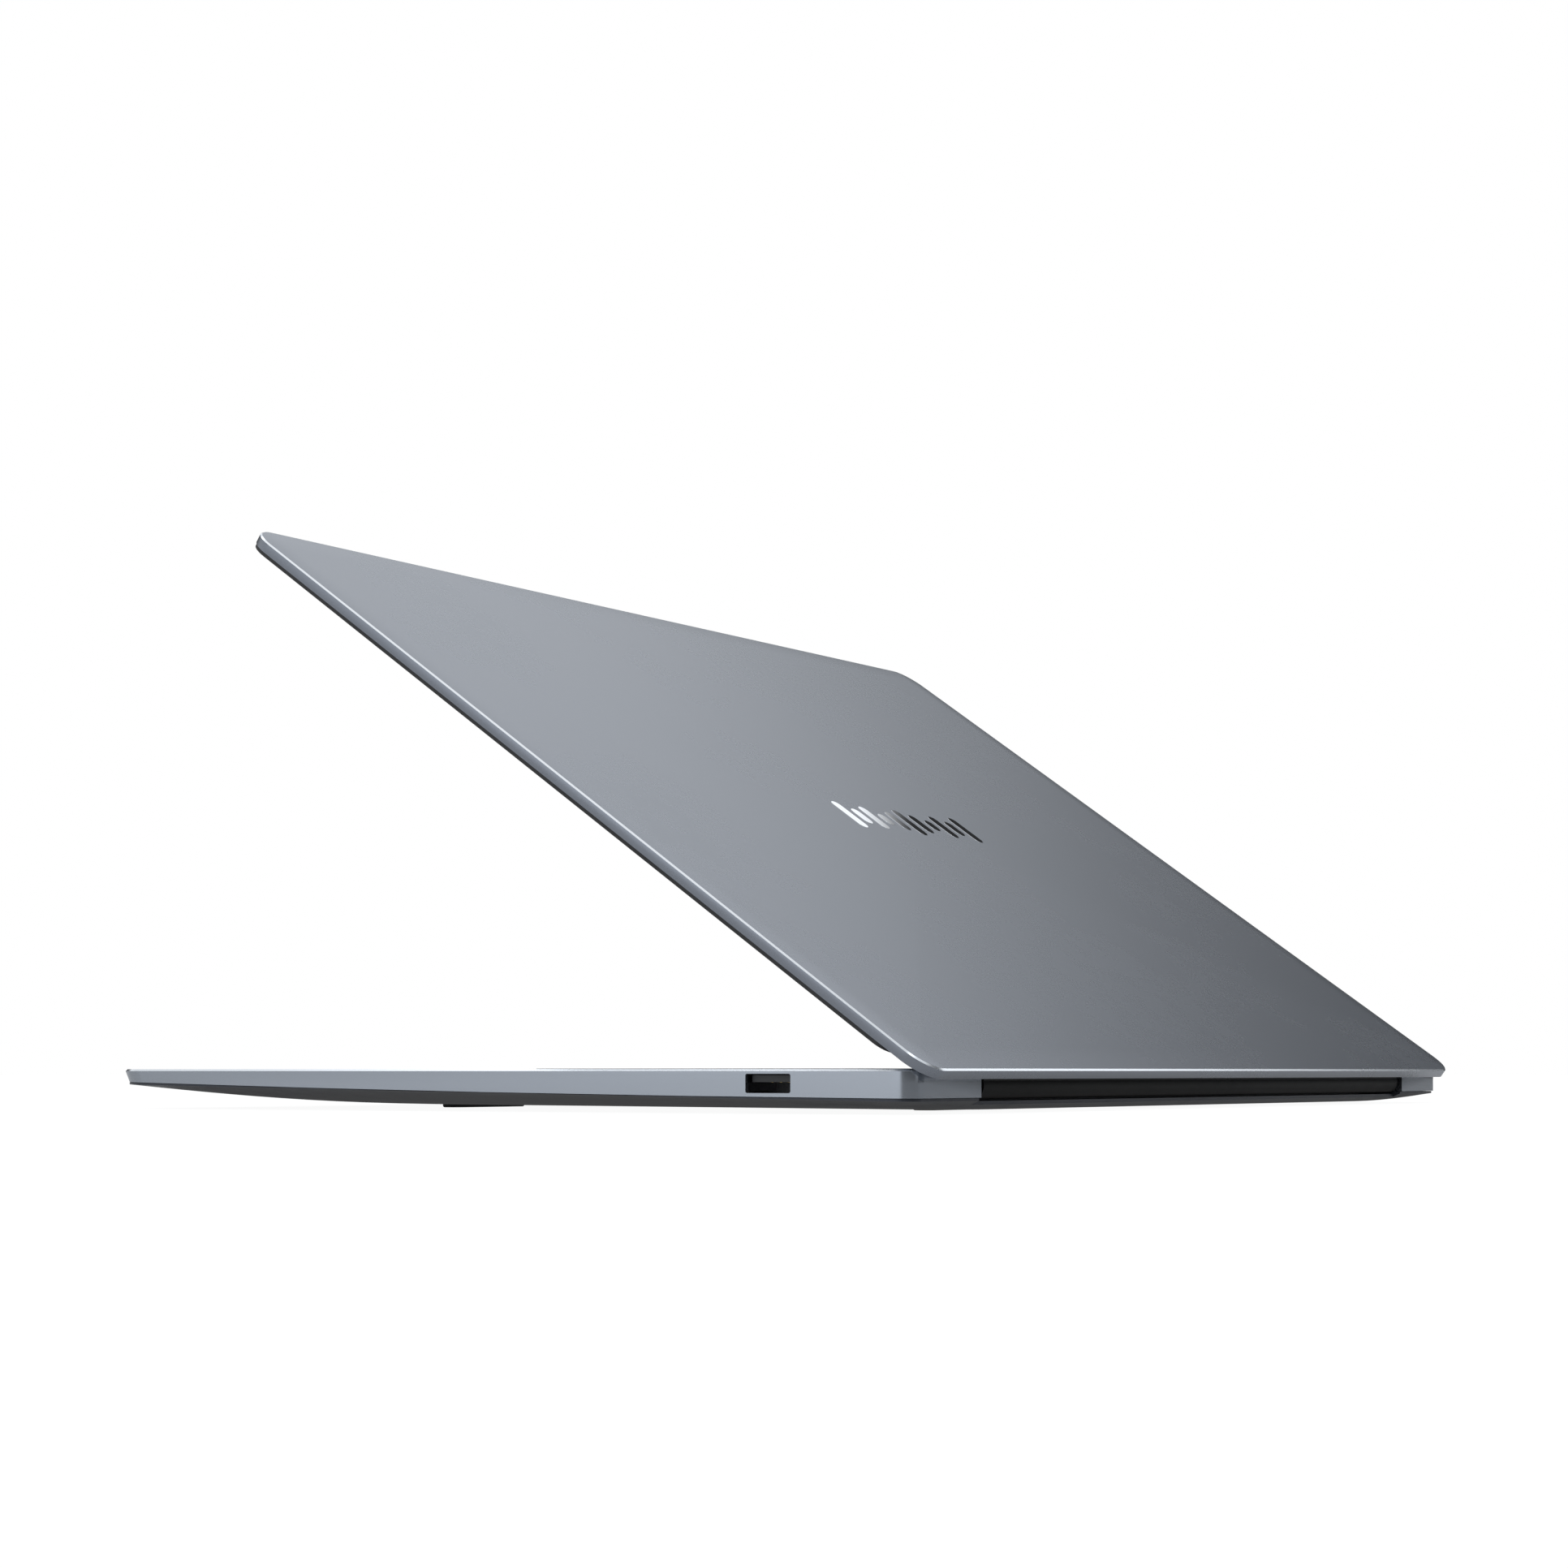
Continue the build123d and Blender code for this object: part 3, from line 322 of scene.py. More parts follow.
def makeDustGroup():
    # dust specks: a thresholded fine noise, kept mostly to faces that look up
    group, source, sink = newGroup(
        "dust", [("Vector", "NodeSocketVector", None), ("Amount", "NodeSocketFloat", 0.2)],
        [("Mask", "NodeSocketFloat")],
    )
    speck = rangeNode(group, noiseNode(group, source.outputs["Vector"], 900.0, 2.0, 0.6), 0.68, 0.78)
    geometry = group.nodes.new("ShaderNodeNewGeometry")
    split = group.nodes.new("ShaderNodeSeparateXYZ")
    group.links.new(geometry.outputs["Normal"], split.inputs[0])
    upward = rangeNode(group, split.outputs["Z"], 0.0, 0.8, 0.25, 1.0)
    both = mathNode(group, "MULTIPLY", speck, upward)
    group.links.new(mathNode(group, "MULTIPLY", both, source.outputs["Amount"]), sink.inputs["Mask"])
    return group


def makeBevelGroup():
    # cut edges: faces that look neither up nor sideways, whatever way round they stand
    group, source, sink = newGroup(
        "bevelFaces", [("Low", "NodeSocketFloat", 0.45), ("High", "NodeSocketFloat", 0.92)],
        [("Mask", "NodeSocketFloat")],
    )
    geometry = group.nodes.new("ShaderNodeNewGeometry")
    split = group.nodes.new("ShaderNodeSeparateXYZ")
    group.links.new(geometry.outputs["True Normal"], split.inputs[0])
    above = mathNode(group, "GREATER_THAN", split.outputs["Z"])
    group.links.new(source.outputs["Low"], above.node.inputs[1])
    below = mathNode(group, "LESS_THAN", split.outputs["Z"])
    group.links.new(source.outputs["High"], below.node.inputs[1])
    group.links.new(mathNode(group, "MULTIPLY", above, below), sink.inputs["Mask"])
    return group


effects = {"grain": makeGrainGroup(), "haze": makeHazeGroup(), "dust": makeDustGroup(),
           "bevelFaces": makeBevelGroup()}


def useGroup(tree, name, vector, **values):
    node = tree.nodes.new("ShaderNodeGroup")
    node.node_tree = effects[name]
    if vector is not None:
        tree.links.new(vector, node.inputs["Vector"])
    for label, value in values.items():
        node.inputs[label].default_value = value
    return node


# one entry for each finish; colours are linear, and edge says where the bright cut bevel is
finishes = {
    "anodised": {"colour": (0.325, 0.350, 0.388), "second": (0.315, 0.339, 0.376), "metallic": 0.95,
                 "roughness": 0.22, "grain": 6000.0, "bump": 0.0000002, "haze": 0.02, "dust": 0.0,
                 "edge": "bevelFaces"},
    "anodisedLid": {"colour": (0.238, 0.256, 0.292), "second": (0.230, 0.248, 0.283), "metallic": 0.95,
                    "roughness": 0.27, "grain": 6000.0, "bump": 0.0000002, "haze": 0.015, "dust": 0.0,
                    "edge": "attribute"},
    "cutEdge": {"colour": (0.80, 0.83, 0.87), "second": (0.74, 0.77, 0.81), "metallic": 1.0, "roughness": 0.2,
                "grain": 4000.0, "bump": 0.000004, "haze": 0.03, "dust": 0.0},
    "mirrorInlay": {"colour": (0.86, 0.87, 0.89), "second": (0.82, 0.83, 0.86), "metallic": 1.0,
                    "roughness": 0.015, "grain": 3000.0, "bump": 0.00000001, "haze": 0.01, "dust": 0.0},
    "darkPaint": {"colour": (0.036, 0.040, 0.052), "second": (0.028, 0.031, 0.040), "metallic": 0.4,
                  "roughness": 0.36, "grain": 2400.0, "bump": 0.00003, "haze": 0.08, "dust": 0.15},
    "barrelPlastic": {"colour": (0.006, 0.006, 0.006), "second": (0.004, 0.004, 0.004), "metallic": 0.0,
                      "roughness": 0.5, "grain": 2000.0, "bump": 0.00002, "haze": 0.08, "dust": 0.0,
                      "specular": 0.1},
    "sleeveSteel": {"colour": (0.20, 0.20, 0.21), "second": (0.15, 0.15, 0.16), "metallic": 1.0,
                    "roughness": 0.35, "grain": 1600.0, "bump": 0.00001, "haze": 0.1, "dust": 0.0},
    "blackPlastic": {"colour": (0.016, 0.017, 0.019), "second": (0.011, 0.012, 0.013), "metallic": 0.0,
                     "roughness": 0.42, "grain": 1800.0, "bump": 0.00003, "haze": 0.08, "dust": 0.2},
    "keycapPlastic": {"colour": (0.026, 0.027, 0.030), "second": (0.020, 0.021, 0.023), "metallic": 0.0,
                      "roughness": 0.5, "grain": 2200.0, "bump": 0.00002, "haze": 0.12, "dust": 0.2},
    "legendPaint": {"colour": (0.62, 0.64, 0.66), "second": (0.54, 0.56, 0.58), "metallic": 0.0,
                    "roughness": 0.55, "grain": 3000.0, "bump": 0.00001, "haze": 0.1, "dust": 0.1},
    "gasketRubber": {"colour": (0.012, 0.012, 0.013), "second": (0.008, 0.008, 0.009), "metallic": 0.0,
                     "roughness": 0.6, "grain": 1500.0, "bump": 0.00003, "haze": 0.08, "dust": 0.3},
    "steel": {"colour": (0.58, 0.57, 0.55), "second": (0.50, 0.49, 0.48), "metallic": 1.0, "roughness": 0.28,
              "grain": 1600.0, "bump": 0.00001, "haze": 0.1, "dust": 0.0},
    "blackSteel": {"colour": (0.035, 0.035, 0.037), "second": (0.022, 0.022, 0.024), "metallic": 0.9,
                   "roughness": 0.35, "grain": 1600.0, "bump": 0.00001, "haze": 0.1, "dust": 0.0},
    "gold": {"colour": (0.83, 0.62, 0.28), "second": (0.75, 0.54, 0.22), "metallic": 1.0, "roughness": 0.25,
             "grain": 2600.0, "bump": 0.000005, "haze": 0.08, "dust": 0.0},
    "copper": {"colour": (0.80, 0.42, 0.26), "second": (0.62, 0.30, 0.19), "metallic": 1.0, "roughness": 0.34,
               "grain": 900.0, "bump": 0.00001, "haze": 0.14, "dust": 0.0},
    "boardLacquer": {"colour": (0.010, 0.045, 0.035), "second": (0.020, 0.075, 0.050), "metallic": 0.0,
                     "roughness": 0.35, "grain": 500.0, "bump": 0.00004, "haze": 0.06, "dust": 0.2},
    "chipPlastic": {"colour": (0.025, 0.025, 0.027), "second": (0.018, 0.018, 0.02), "metallic": 0.0,
                    "roughness": 0.48, "grain": 2500.0, "bump": 0.00002, "haze": 0.06, "dust": 0.1},
    "cellWrap": {"colour": (0.035, 0.036, 0.040), "second": (0.025, 0.026, 0.030), "metallic": 0.0,
                 "roughness": 0.3, "grain": 300.0, "bump": 0.00006, "haze": 0.1, "dust": 0.1},
    "panelBacking": {"colour": (0.30, 0.31, 0.33), "second": (0.26, 0.27, 0.29), "metallic": 0.8,
                     "roughness": 0.35, "grain": 1200.0, "bump": 0.00001, "haze": 0.06, "dust": 0.0},
    "screenFace": {"colour": (0.006, 0.006, 0.008), "second": (0.004, 0.004, 0.006), "metallic": 0.0,
                   "roughness": 0.14, "grain": 6000.0, "bump": 0.000001, "haze": 0.10, "dust": 0.1},
    "lensGlass": {"colour": (0.010, 0.008, 0.020), "second": (0.006, 0.006, 0.012), "metallic": 0.0,
                  "roughness": 0.05, "grain": 6000.0, "bump": 0.000001, "haze": 0.03, "dust": 0.0},
    "padGlass": {"colour": (0.27, 0.285, 0.31), "second": (0.25, 0.265, 0.29), "metallic": 0.7,
                 "roughness": 0.3, "grain": 3600.0, "bump": 0.000006, "haze": 0.10, "dust": 0.05},
}


def mixColour(tree, mask, first, second):
    node = tree.nodes.new("ShaderNodeMix")
    node.data_type = "RGBA"
    tree.links.new(mask, node.inputs["Factor"])
    for slot, value in (("A", first), ("B", second)):
        if isinstance(value, tuple):
            node.inputs[slot].default_value = (*value, 1)
        else:
            tree.links.new(value, node.inputs[slot])
    return node.outputs["Result"]


dustColour = (0.35, 0.33, 0.30)
bumpStrength = 0.6


def makeFinish(name):
    spec = finishes[name]
    material = bpy.data.materials.new(name)
    material.use_nodes = True
    tree = material.node_tree
    shader = tree.nodes["Principled BSDF"]
    shader.inputs["Metallic"].default_value = spec["metallic"]
    shader.inputs["Specular IOR Level"].default_value = spec.get("specular", 0.5)
    coord = tree.nodes.new("ShaderNodeTexCoord").outputs["Object"]
    grain = useGroup(tree, "grain", coord, Scale=spec["grain"])
    haze = useGroup(tree, "haze", coord, Amount=spec["haze"])
    dust = useGroup(tree, "dust", coord, Amount=spec["dust"])
    colour = mixColour(tree, grain.outputs["Tone"], spec["second"], spec["colour"])
    colour = mixColour(tree, dust.outputs["Mask"], colour, dustColour)
    roughness = mathNode(tree, "ADD", haze.outputs["Roughness"], spec["roughness"])
    if "edge" in spec:
        if spec["edge"] == "attribute":
            attribute = tree.nodes.new("ShaderNodeAttribute")
            attribute.attribute_name = "edge"
            edge = attribute.outputs["Fac"]
        else:
            edge = useGroup(tree, "bevelFaces", None).outputs["Mask"]
        colour = mixColour(tree, edge, colour, finishes["cutEdge"]["colour"])
        roughness = blendNode(tree, edge, roughness, finishes["cutEdge"]["roughness"])
    tree.links.new(colour, shader.inputs["Base Color"])
    tree.links.new(roughness, shader.inputs["Roughness"])
    bump = tree.nodes.new("ShaderNodeBump")
    bump.inputs["Distance"].default_value = spec["bump"]
    bump.inputs["Strength"].default_value = bumpStrength
    tree.links.new(grain.outputs["Height"], bump.inputs["Height"])
    tree.links.new(bump.outputs["Normal"], shader.inputs["Normal"])
    return material


materials = {name: makeFinish(name) for name in finishes}
print("materials made:", len(materials))


# ---- surfaces: closed loops stacked into shells

def cornerLoop(halfX, low, high, lowRadius, highRadius, inset=0.0, perCorner=10):
    # four quarter circles joined by straight sides, all moved inwards by inset, anticlockwise from above
    angle = np.linspace(0, math.pi / 2, perCorner)
    loop = []
    for signX, edge, signY, radius, start in ((1, low, -1, lowRadius, -90), (1, high, 1, highRadius, 0),
                                              (-1, high, 1, highRadius, 90), (-1, low, -1, lowRadius, 180)):
        reach = max(radius - inset, 0.02)
        turn = angle + math.radians(start)
        loop.append(np.stack([signX * (halfX - inset - reach) + reach * np.cos(turn),
                              edge - signY * (inset + reach) + reach * np.sin(turn)], -1))
    return np.concatenate(loop)


def lift(loop, height):
    return np.concatenate([loop, np.full((len(loop), 1), float(height))], 1)


def shellFrom(rings):
    # rings joined by quads in order, from the one that closes the bottom to the one that closes the top;
    # the two ends are fans round their middle points
    count, around = rings.shape[:2]
    points = np.concatenate([rings.reshape(-1, 3), rings[0].mean(0)[None], rings[-1].mean(0)[None]])
    row = np.arange(count - 1)[:, None] * around
    column = np.arange(around)
    after = (column + 1) % around
    quads = np.stack(np.broadcast_arrays(row + column, row + after, row + around + after,
                                         row + around + column), -1)
    bottom = np.stack([np.full(around, count * around), after, column], -1)
    last = (count - 1) * around
    top = np.stack([np.full(around, count * around + 1), last + column, last + after], -1)
    return points, quads.reshape(-1, 4).tolist() + bottom.tolist() + top.tolist()


def joinShells(shells):
    points, faces, start = [], [], 0
    for shellPoints, shellFaces in shells:
        points.append(shellPoints)
        faces += [[index + start for index in face] for face in shellFaces]
        start += len(shellPoints)
    return np.concatenate(points), faces


def makePiece(name, shell, place, body, finish, replaced=()):
    points, faces = shell
    mesh = bpy.data.meshes.new(name)
    mesh.from_pydata((place(points) * mm).tolist(), [], faces)
    mesh.update()
    piece = bpy.data.objects.new(name, mesh)
    bpy.context.scene.collection.objects.link(piece)
    mesh.materials.append(materials[finish])
    modifier = piece.modifiers.new("smoothing", "NODES")
    modifier.node_group = smoothing
    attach(piece, body)
    if replaced:
        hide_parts(*replaced)
    return piece


smoothingSettings = {"weldDistance": 0.000002, "sharpFrom": 28}


def makeSmoothing():
    # joins the loose triangles and keeps an edge sharp where its faces meet at more than the angle
    group = bpy.data.node_groups.new("smoothing", "GeometryNodeTree")
    group.interface.new_socket("Geometry", in_out="INPUT", socket_type="NodeSocketGeometry")
    group.interface.new_socket("Geometry", in_out="OUTPUT", socket_type="NodeSocketGeometry")
    make, link = group.nodes.new, group.links.new
    source, sink = make("NodeGroupInput"), make("NodeGroupOutput")
    weld = make("GeometryNodeMergeByDistance")
    weld.inputs["Distance"].default_value = smoothingSettings["weldDistance"]
    faces = make("GeometryNodeSetShadeSmooth")
    faces.domain = "FACE"
    edges = make("GeometryNodeSetShadeSmooth")
    edges.domain = "EDGE"
    edges.inputs["Shade Smooth"].default_value = False
    angle = make("GeometryNodeInputMeshEdgeAngle")
    steep = make("FunctionNodeCompare")
    steep.data_type = "FLOAT"
    steep.operation = "GREATER_THAN"
    steep.inputs["B"].default_value = math.radians(smoothingSettings["sharpFrom"])
    link(source.outputs[0], weld.inputs["Geometry"])
    link(weld.outputs["Geometry"], faces.inputs["Geometry"])
    link(faces.outputs["Geometry"], edges.inputs["Geometry"])
    link(angle.outputs["Unsigned Angle"], steep.inputs["A"])
    link(steep.outputs["Result"], edges.inputs["Selection"])
    link(edges.outputs["Geometry"], sink.inputs[0])
    return group


smoothing = makeSmoothing()


# ---- lid

lid = {
    "halfWidth": 178.35, "outer": 8.3, "inner": 5.3,
    "length": 249.2,
    "freeCorner": 9.0, "hingeCorner": 8.0,
    "bevel": 0.40,
    "softEdge": 0.12,  # rounding below the bevel and round the underside
    "crown": 0.20,  # the outer face falls by this much at its edge
    "crownRun": 9.0,  # over this distance
    "pocketInset": 3.2, "pocketRear": -9.2, "pocketRoof": 7.4, "pocketFront": 6.0, "pocketHinge": 2.0,
    "perCorner": 14,
    "crownSteps": 12,
}
lid["rear"] = (lid["outer"] * math.cos(hinge["opening"]) - 4.0) / math.sin(hinge["opening"])
lid["front"] = lid["rear"] - lid["length"]


def lidLoop(inset, height):
    return lift(cornerLoop(lid["halfWidth"], lid["front"], lid["rear"], lid["freeCorner"], lid["hingeCorner"],
                           inset, lid["perCorner"]), height)


def crownDrop(inset):
    # a parabola that runs out flat at the end of the crown
    return lid["crown"] * max(1 - inset / lid["crownRun"], 0.0) ** 2


def makeLidSkin():
    # pocket roof, pocket wall, underside, side wall, bevel, then the crowned outer face
    inset = lid["pocketInset"]
    pocket = cornerLoop(lid["halfWidth"] - inset, lid["front"] + inset, lid["pocketRear"],
                        lid["pocketFront"], lid["pocketHinge"], 0, lid["perCorner"])
    soft, bevel = lid["softEdge"], lid["bevel"]
    shoulder = lid["outer"] - crownDrop(bevel)
    rings = [lift(pocket, lid["pocketRoof"]), lift(pocket, lid["inner"]),
             lidLoop(soft, lid["inner"]), lidLoop(soft * 0.3, lid["inner"] + soft * 0.3),
             lidLoop(0, lid["inner"] + soft), lidLoop(0, shoulder - bevel)]
    bevelStart = len(rings) - 1
    rings += [lidLoop(bevel, shoulder)]
    bevelEnd = len(rings) - 1
    for step in np.linspace(0, 1, lid["crownSteps"])[1:]:
        reach = bevel + (lid["crownRun"] - bevel) * step
        rings.append(lidLoop(reach, lid["outer"] - crownDrop(reach)))
    rings = np.stack(rings)
    skin = makePiece("lidSkin", shellFrom(rings), lidPlace, "lid", "anodisedLid",
                     ["lid_shell"])
    around = rings.shape[1]
    edge = np.zeros(len(skin.data.polygons), dtype=np.float32)
    edge[bevelStart * around:bevelEnd * around] = 1.0
    skin.data.attributes.new("edge", "FLOAT", "FACE").data.foreach_set("value", edge)


emblem = {
    "bars": (14.0, 8.0, 12.0, 6.0, 10.0, 14.0, 10.0, 6.0, 12.0, 8.0, 14.0),  # lengths
    "pitch": 7.05, "barWidth": 4.2, "fromRear": 127.0, "proud": 0.05, "depth": 0.3, "rounding": 0.03,
}


def makeEmblem():
    # each bar is a slot outline, upright and then bevelled, with a flat mirror top
    shells = []
    middle = lid["rear"] - emblem["fromRear"]
    half, top = emblem["barWidth"] / 2, lid["outer"] + emblem["proud"]
    for index, length in enumerate(emblem["bars"]):
        rings = [lift(cornerLoop(half, middle - length / 2, middle + length / 2, half, half, inset), height)
                 for inset, height in ((0, top - emblem["depth"]), (0, top - emblem["rounding"]),
                                       (emblem["rounding"], top))]
        along = (index - (len(emblem["bars"]) - 1) / 2) * emblem["pitch"]
        ring = np.stack(rings) + np.array([along, 0, 0])
        shells.append(shellFrom(ring))
    makePiece("emblemBars", joinShells(shells), lidPlace, "lid", "mirrorInlay",
              ["lid_emblem"])


camera = {
    "fromFront": 5.6, "lensRadius": 0.85, "lensFace": 0.42, "lensDepth": 0.3, "lensDome": 0.12,
    "lightX": 4.2, "lightRadius": 0.35, "lightDepth": 0.45, "lightFace": 0.53, "lightDome": 0.03,
}


def disc(x, y, radius, low, high, dome):
    # a round button: upright wall, then a shallow spherical top in three steps
    steps = [(0, low), (0, high - dome)]
    steps += [(radius * (1 - math.cos(turn)), high - dome + dome * math.sin(turn))
              for turn in (0.5, 1.0, 1.4)]
    rings = [lift(cornerLoop(radius, -radius, radius, radius, radius, inset, 5), height)
             for inset, height in steps]
    return shellFrom(np.stack(rings) + np.array([x, y, 0]))


def facing(shell):
    # turns a shell over, so that its top looks down, and keeps its faces outwards
    points, faces = shell
    return points * np.array([-1.0, 1.0, -1.0]), faces


def makeCameraEye():
    y, face = lid["front"] + camera["fromFront"], lid["inner"] - camera["lensFace"]
    lens = facing(disc(0, y, camera["lensRadius"], -face - camera["lensDepth"], -face, camera["lensDome"]))
    light = facing(disc(camera["lightX"], y, camera["lightRadius"], -lid["inner"] + camera["lightDepth"],
                        -lid["inner"] + camera["lightFace"], camera["lightDome"]))
    makePiece("cameraLens", lens, lidPlace, "lid", "lensGlass")
    makePiece("cameraLight", light, lidPlace, "lid", "legendPaint")


makeLidSkin()
makeEmblem()
makeCameraEye()
print("lid made")


# ---- keys

keyboard = {
    "pitch": 19.0, "rowPitch": 18.6, "gap": 3.0,
    "rear": -31.0,  # rear edge of the keyboard window, from the rear faces
    "functionDepth": 10.0, "functionGap": 0.6, "functionShift": -1.1,
    "arrowGap": 1.0,
    "thickness": 1.4, "proud": 0.15,
    "corner": 1.6, "foot": 0.5, "draft": 0.14, "rim": 0.3, "dish": 0.10,
    "legendRise": 0.015, "legendDepth": 0.03,
    "letterSize": 4.4, "wordSize": 2.5,
}
rowKeys = {
    # node: row, then width in pitches and legend of each key from the left
    "number_row_keys": (0, [(1, label) for label in "`1234567890-="] + [(2, "back")]),
    "upper_row_keys": (1, [(1.5, "tab")] + [(1, label) for label in "QWERTYUIOP[]"] + [(1.5, "\\")]),
    "home_row_keys": (2, [(1.75, "caps")] + [(1, label) for label in "ASDFGHJKL;'"] + [(2.25, "enter")]),
    "lower_row_keys": (3, [(2.25, "shift")] + [(1, label) for label in "ZXCVBNM,./"] + [(2.75, "shift")]),
    "modifier_keys": (4, [(1.25, "ctrl"), (1, "fn"), (1, "sys"), (1, "alt"), (5.75, None), (1, "alt"),
                          (1, "ctrl")]),
    "space_bar": (4, [(4.25, None), (5.75, "")]),
}


def rowMiddle(row):
    front = keyboard["rear"] - 0.2 - keyboard["functionDepth"] - keyboard["gap"]
    return front - keyboard["rowPitch"] * (row + 0.5) + keyboard["gap"] / 2


def keycap(x, y, width, depth):
    # upright foot, slightly drafted wall, rounded rim, then a shallow dish: 1 - r squared over the top
    low, high = keyboard["proud"] - keyboard["thickness"], keyboard["proud"]
    draft, rim = keyboard["draft"], keyboard["rim"]
    corner = keyboard["corner"]
    steps = [(0, low), (0, low + keyboard["foot"]), (draft, high - rim)]
    steps += [(draft + rim * (1 - math.cos(turn)), high - rim + rim * math.sin(turn))
              for turn in (0.4, 0.8, 1.2, 1.57)]
    rings = [lift(cornerLoop(width / 2, -depth / 2, depth / 2, corner, corner, inset, 6), height)
             for inset, height in steps]
    edgeRing = rings[-1]
    for scale in (0.85, 0.6, 0.3):
        fall = keyboard["dish"] * (1 - scale ** 2)
        rings.append(edgeRing * np.array([scale, scale, 0]) + np.array([0, 0, high - fall]))
    return shellFrom(np.stack(rings) + np.array([x, y, 0]))


def legend(words, x, y, size):
    # flat lettering with a little thickness, its middle at the key's middle
    curve = bpy.data.curves.new("legend", "FONT")
    curve.body = words
    curve.size = size
    curve.resolution_u = 3
    curve.extrude = keyboard["legendDepth"] / 2
    curve.align_x, curve.align_y = "CENTER", "CENTER"
    holder = bpy.data.objects.new("legend", curve)
    mesh = bpy.data.meshes.new_from_object(holder)
    points = np.empty(len(mesh.vertices) * 3)
    mesh.vertices.foreach_get("co", points)
    faces = [list(face.vertices) for face in mesh.polygons]
    bpy.data.objects.remove(holder)
    bpy.data.meshes.remove(mesh)
    height = keyboard["proud"] - keyboard["dish"] + keyboard["legendRise"] - keyboard["legendDepth"] / 2
    return points.reshape(-1, 3) + np.array([x, y, height]), faces


def arrowMark(x, y, turn, size=1.1):
    # a small triangular plate pointing along the turn
    angle = math.radians(turn) + np.arange(3) * 2 * math.pi / 3
    loop = np.stack([size * np.cos(angle), size * np.sin(angle)], -1) + np.array([x, y])
    height = keyboard["proud"] - keyboard["dish"] + keyboard["legendRise"]
    return shellFrom(np.stack([lift(loop, height - keyboard["legendDepth"]), lift(loop, height)]))


def keyRow(node, keys, marks, finish="keycapPlastic"):
    body = bodyOf[node]
    title = "".join(word.capitalize() for word in node.split("_"))
    title = title[0].lower() + title[1:]
    makePiece(title + "Caps", joinShells(keys), deckPlace, body, finish, [node])
    if marks:
        makePiece(title + "Legends", joinShells(marks), deckPlace, body, "legendPaint")


def makeKeys():
    pitch, gap = keyboard["pitch"], keyboard["gap"]
    depth = keyboard["rowPitch"] - gap
    for node, (row, units) in rowKeys.items():
        left, keys, marks = -7.5 * pitch, [], []
        for width, label in units:
            middle = left + width * pitch / 2
            if label is not None:
                keys.append(keycap(middle, rowMiddle(row), width * pitch - gap, depth))
            if label:
                size = keyboard["letterSize"] if len(label) == 1 else keyboard["wordSize"]
                marks.append(legend(label, middle, rowMiddle(row), size))
            left += width * pitch
        keyRow(node, keys, marks)
    # function keys, and the power button as the last of them
    y = keyboard["rear"] - keyboard["functionDepth"] / 2 + keyboard["functionShift"]
    size = (pitch - gap, keyboard["functionDepth"] - keyboard["functionGap"])
    labels = ["esc"] + [f"F{count}" for count in range(1, 13)] + ["del"]
    places = [(column - 7) * pitch for column in range(14)]
    keyRow("function_keys", [keycap(x, y, *size) for x in places],
           [legend(label, x, y, keyboard["wordSize"]) for label, x in zip(labels, places)])
    keyRow("power_button", [keycap(7 * pitch, y, *size)], [], "anodised")
    # arrow cluster: full keys left and right, half keys up and down
    half = (depth - keyboard["arrowGap"]) / 2
    y = rowMiddle(4)
    shift = (half + keyboard["arrowGap"]) / 2
    spots = [(5 * pitch, y, depth, 180), (7 * pitch, y, depth, 0), (6 * pitch, y + shift, half, 90),
             (6 * pitch, y - shift, half, 270)]
    keyRow("arrow_keys", [keycap(x, middle, pitch - gap, tall) for x, middle, tall, _ in spots],
           [arrowMark(x, middle, turn) for x, middle, _, turn in spots])


makeKeys()
print("keys made")


# ---- sockets: gold contacts under the USB-A tongues

sockets = {
    "wall": 178.05 - 1.2,  # inside face of the side wall
    "contactLength": 3.5, "contactStart": 6.5, "contactThickness": 0.08,
    "contactWidth": 1.1, "contactPitch": 2.4, "contactRounding": 0.3,  # rounding as a share of the width
    "contacts": 4,
}


def contactStrip(side, y, width, low, high):
    # a small plate along the tongue, with rounded ends
    near = side * (sockets["wall"] - sockets["contactStart"])
    far = near - side * sockets["contactLength"]
    middle, half = (near + far) / 2, abs(near - far) / 2
    corner = width * sockets["contactRounding"]
    loop = cornerLoop(half, y - width / 2, y + width / 2, corner, corner, 0, 3) + np.array([middle, 0])
    return shellFrom(np.stack([lift(loop, low), lift(loop, high)]))


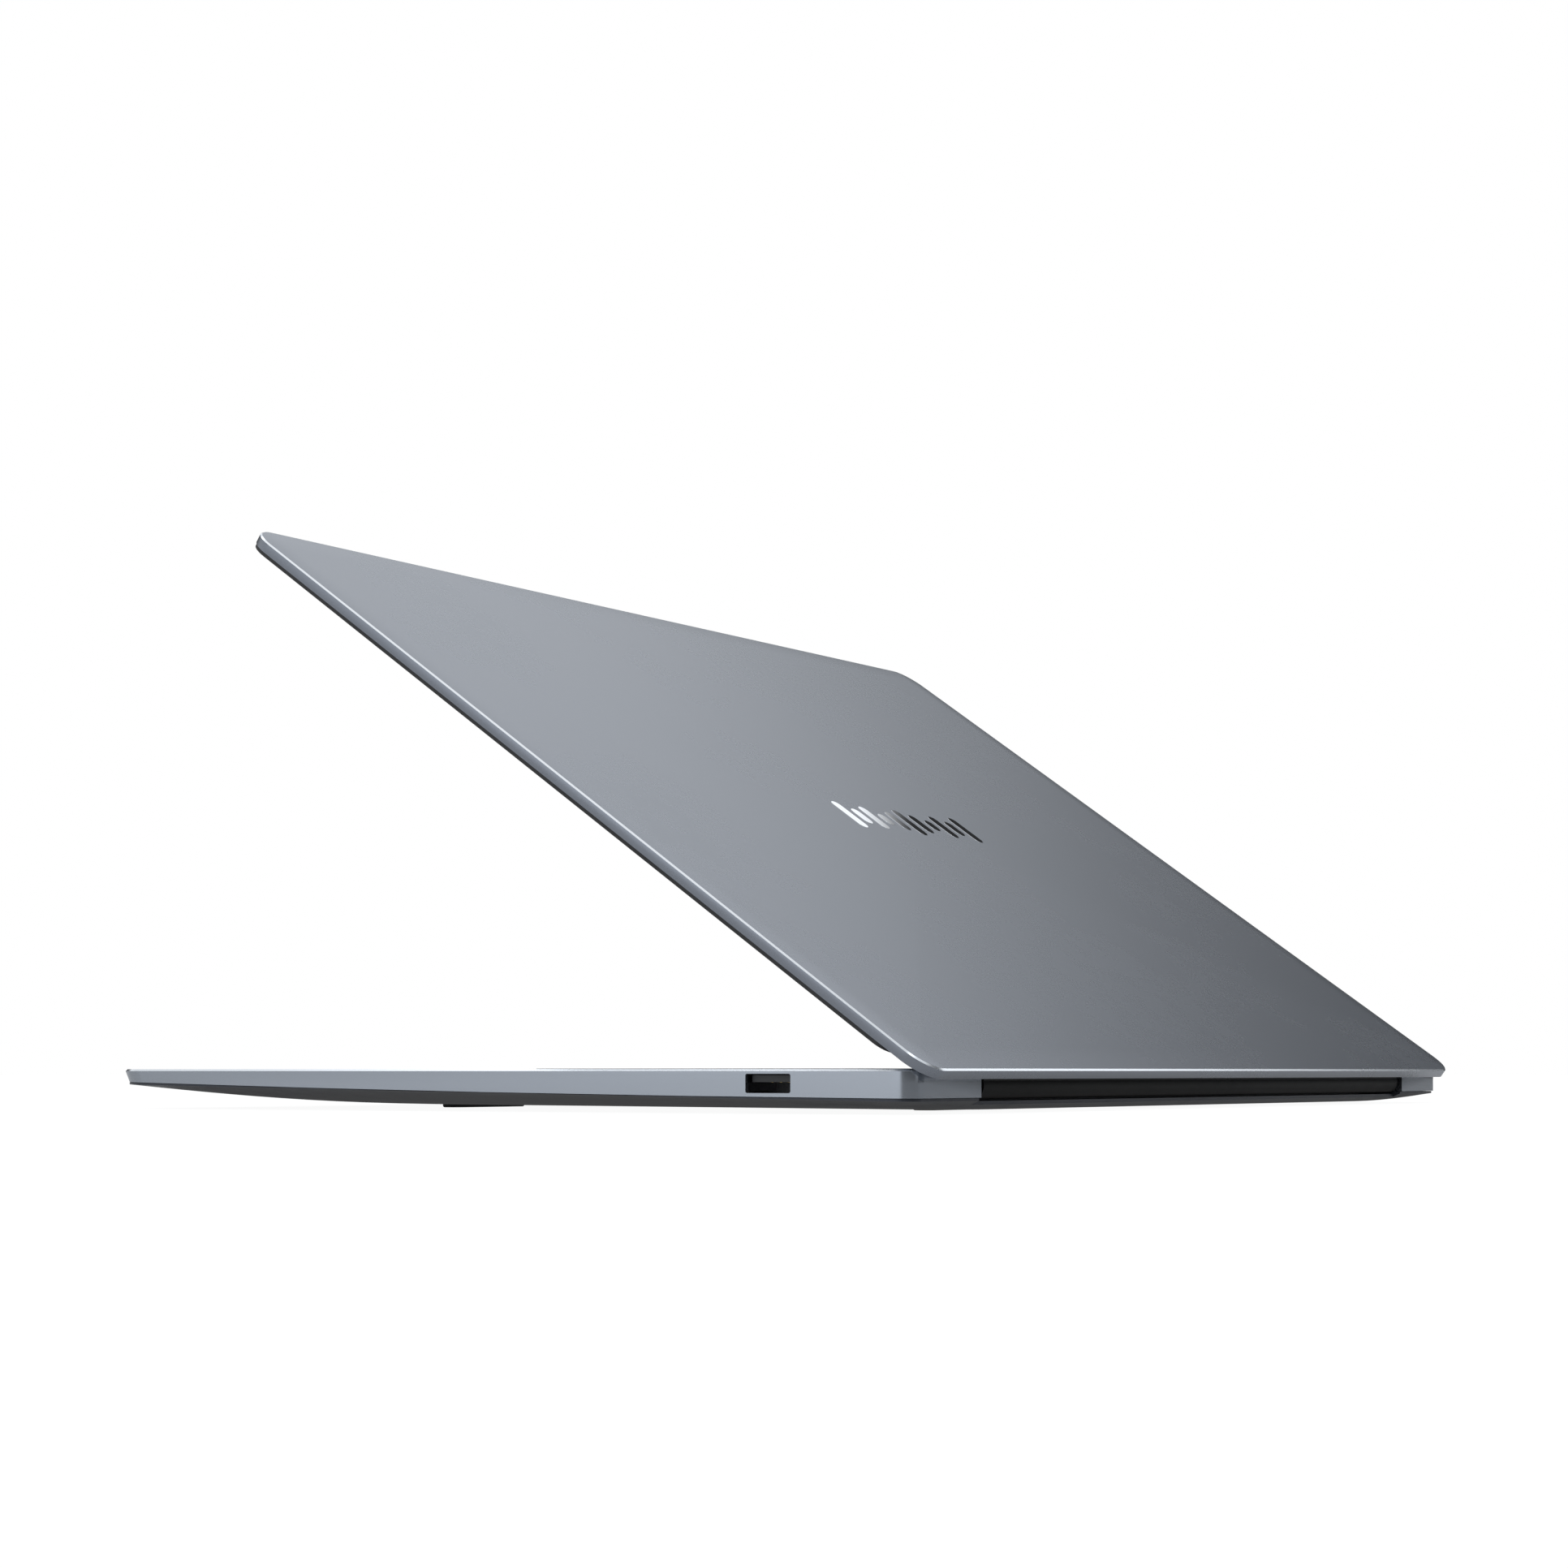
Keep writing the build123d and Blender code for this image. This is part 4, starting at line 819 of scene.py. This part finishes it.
def makeContacts():
    thick = sockets["contactThickness"]
    pitch, width, count = sockets["contactPitch"], sockets["contactWidth"], sockets["contacts"]
    for name, side, tongue in (("usbContactsRight", 1, "usb_a_tongue_right"),
                               ("usbContactsLeft", -1, "usb_a_tongue_left")):
        low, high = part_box(tongue)
        middle = (low.y + high.y) / 2 / mm - deck["rearY"]
        under = low.z / mm - deck["z"]
        strips = [contactStrip(side, middle + (index - (count - 1) / 2) * pitch, width, under - thick, under)
                  for index in range(count)]
        makePiece(name, joinShells(strips), deckPlace, "base", "gold")


makeContacts()
print("sockets made")


# ---- CAD nodes that stay: welded, shaded smooth with crisp edges, and given their finish

nodeFinish = {
    "anodised": ["top_case", "lid_shell", "power_button"],
    "mirrorInlay": ["lid_emblem"],
    "darkPaint": ["bottom_cover"],
    "barrelPlastic": ["hinge_cover"],
    "blackPlastic": ["keyboard_plate", "screen_bezel", "usb_a_tongue_right", "usb_a_tongue_left",
                     "usb_c_tongues", "hdmi_tongue", "audio_jack", "fan_housing_left", "fan_housing_right",
                     "fan_impeller_left", "fan_impeller_right", "battery_frame", "speaker_left",
                     "speaker_right"],
    "keycapPlastic": ["function_keys", "number_row_keys", "upper_row_keys", "home_row_keys",
                      "lower_row_keys", "modifier_keys", "space_bar", "arrow_keys"],
    "gasketRubber": ["lid_gasket", "rear_foot", "front_feet", "foam_pads"],
    "steel": ["bottom_screws", "usb_c_ports", "hdmi_port", "touchpad_frame", "lid_magnets"],
    "sleeveSteel": ["usb_a_port_right", "usb_a_port_left"],
    "blackSteel": ["hinge_pin_left", "hinge_pin_right",
                   "hinge_bracket_left", "hinge_bracket_right", "hinge_arm_left", "hinge_arm_right"],
    "copper": ["heat_pipes", "heat_spreader", "fin_stacks", "lid_antennas"],
    "boardLacquer": ["motherboard", "solid_state_drive", "wireless_card"],
    "chipPlastic": ["processor", "memory_chips", "camera_module"],
    "cellWrap": ["battery_cells"],
    "panelBacking": ["display_panel"],
    "screenFace": ["screen_glass"],
    "padGlass": ["touchpad"],
}
for finish, members in nodeFinish.items():
    for name in members:
        piece = nodes[name]
        piece.data.materials.clear()
        piece.data.materials.append(materials[finish])
        modifier = piece.modifiers.new("smoothing", "NODES")
        modifier.node_group = smoothing
missed = set(nodes) - {name for members in nodeFinish.values() for name in members}
print("nodes without a finish:", sorted(missed))

makeCamera()
makeWorld()
makeFloor()
for name, (place, target, size, watts) in lamps.items():
    areaLight(name, place, target, size, watts)
bpy.context.scene.view_settings.view_transform = "Standard"
print("camera, floor and light made")
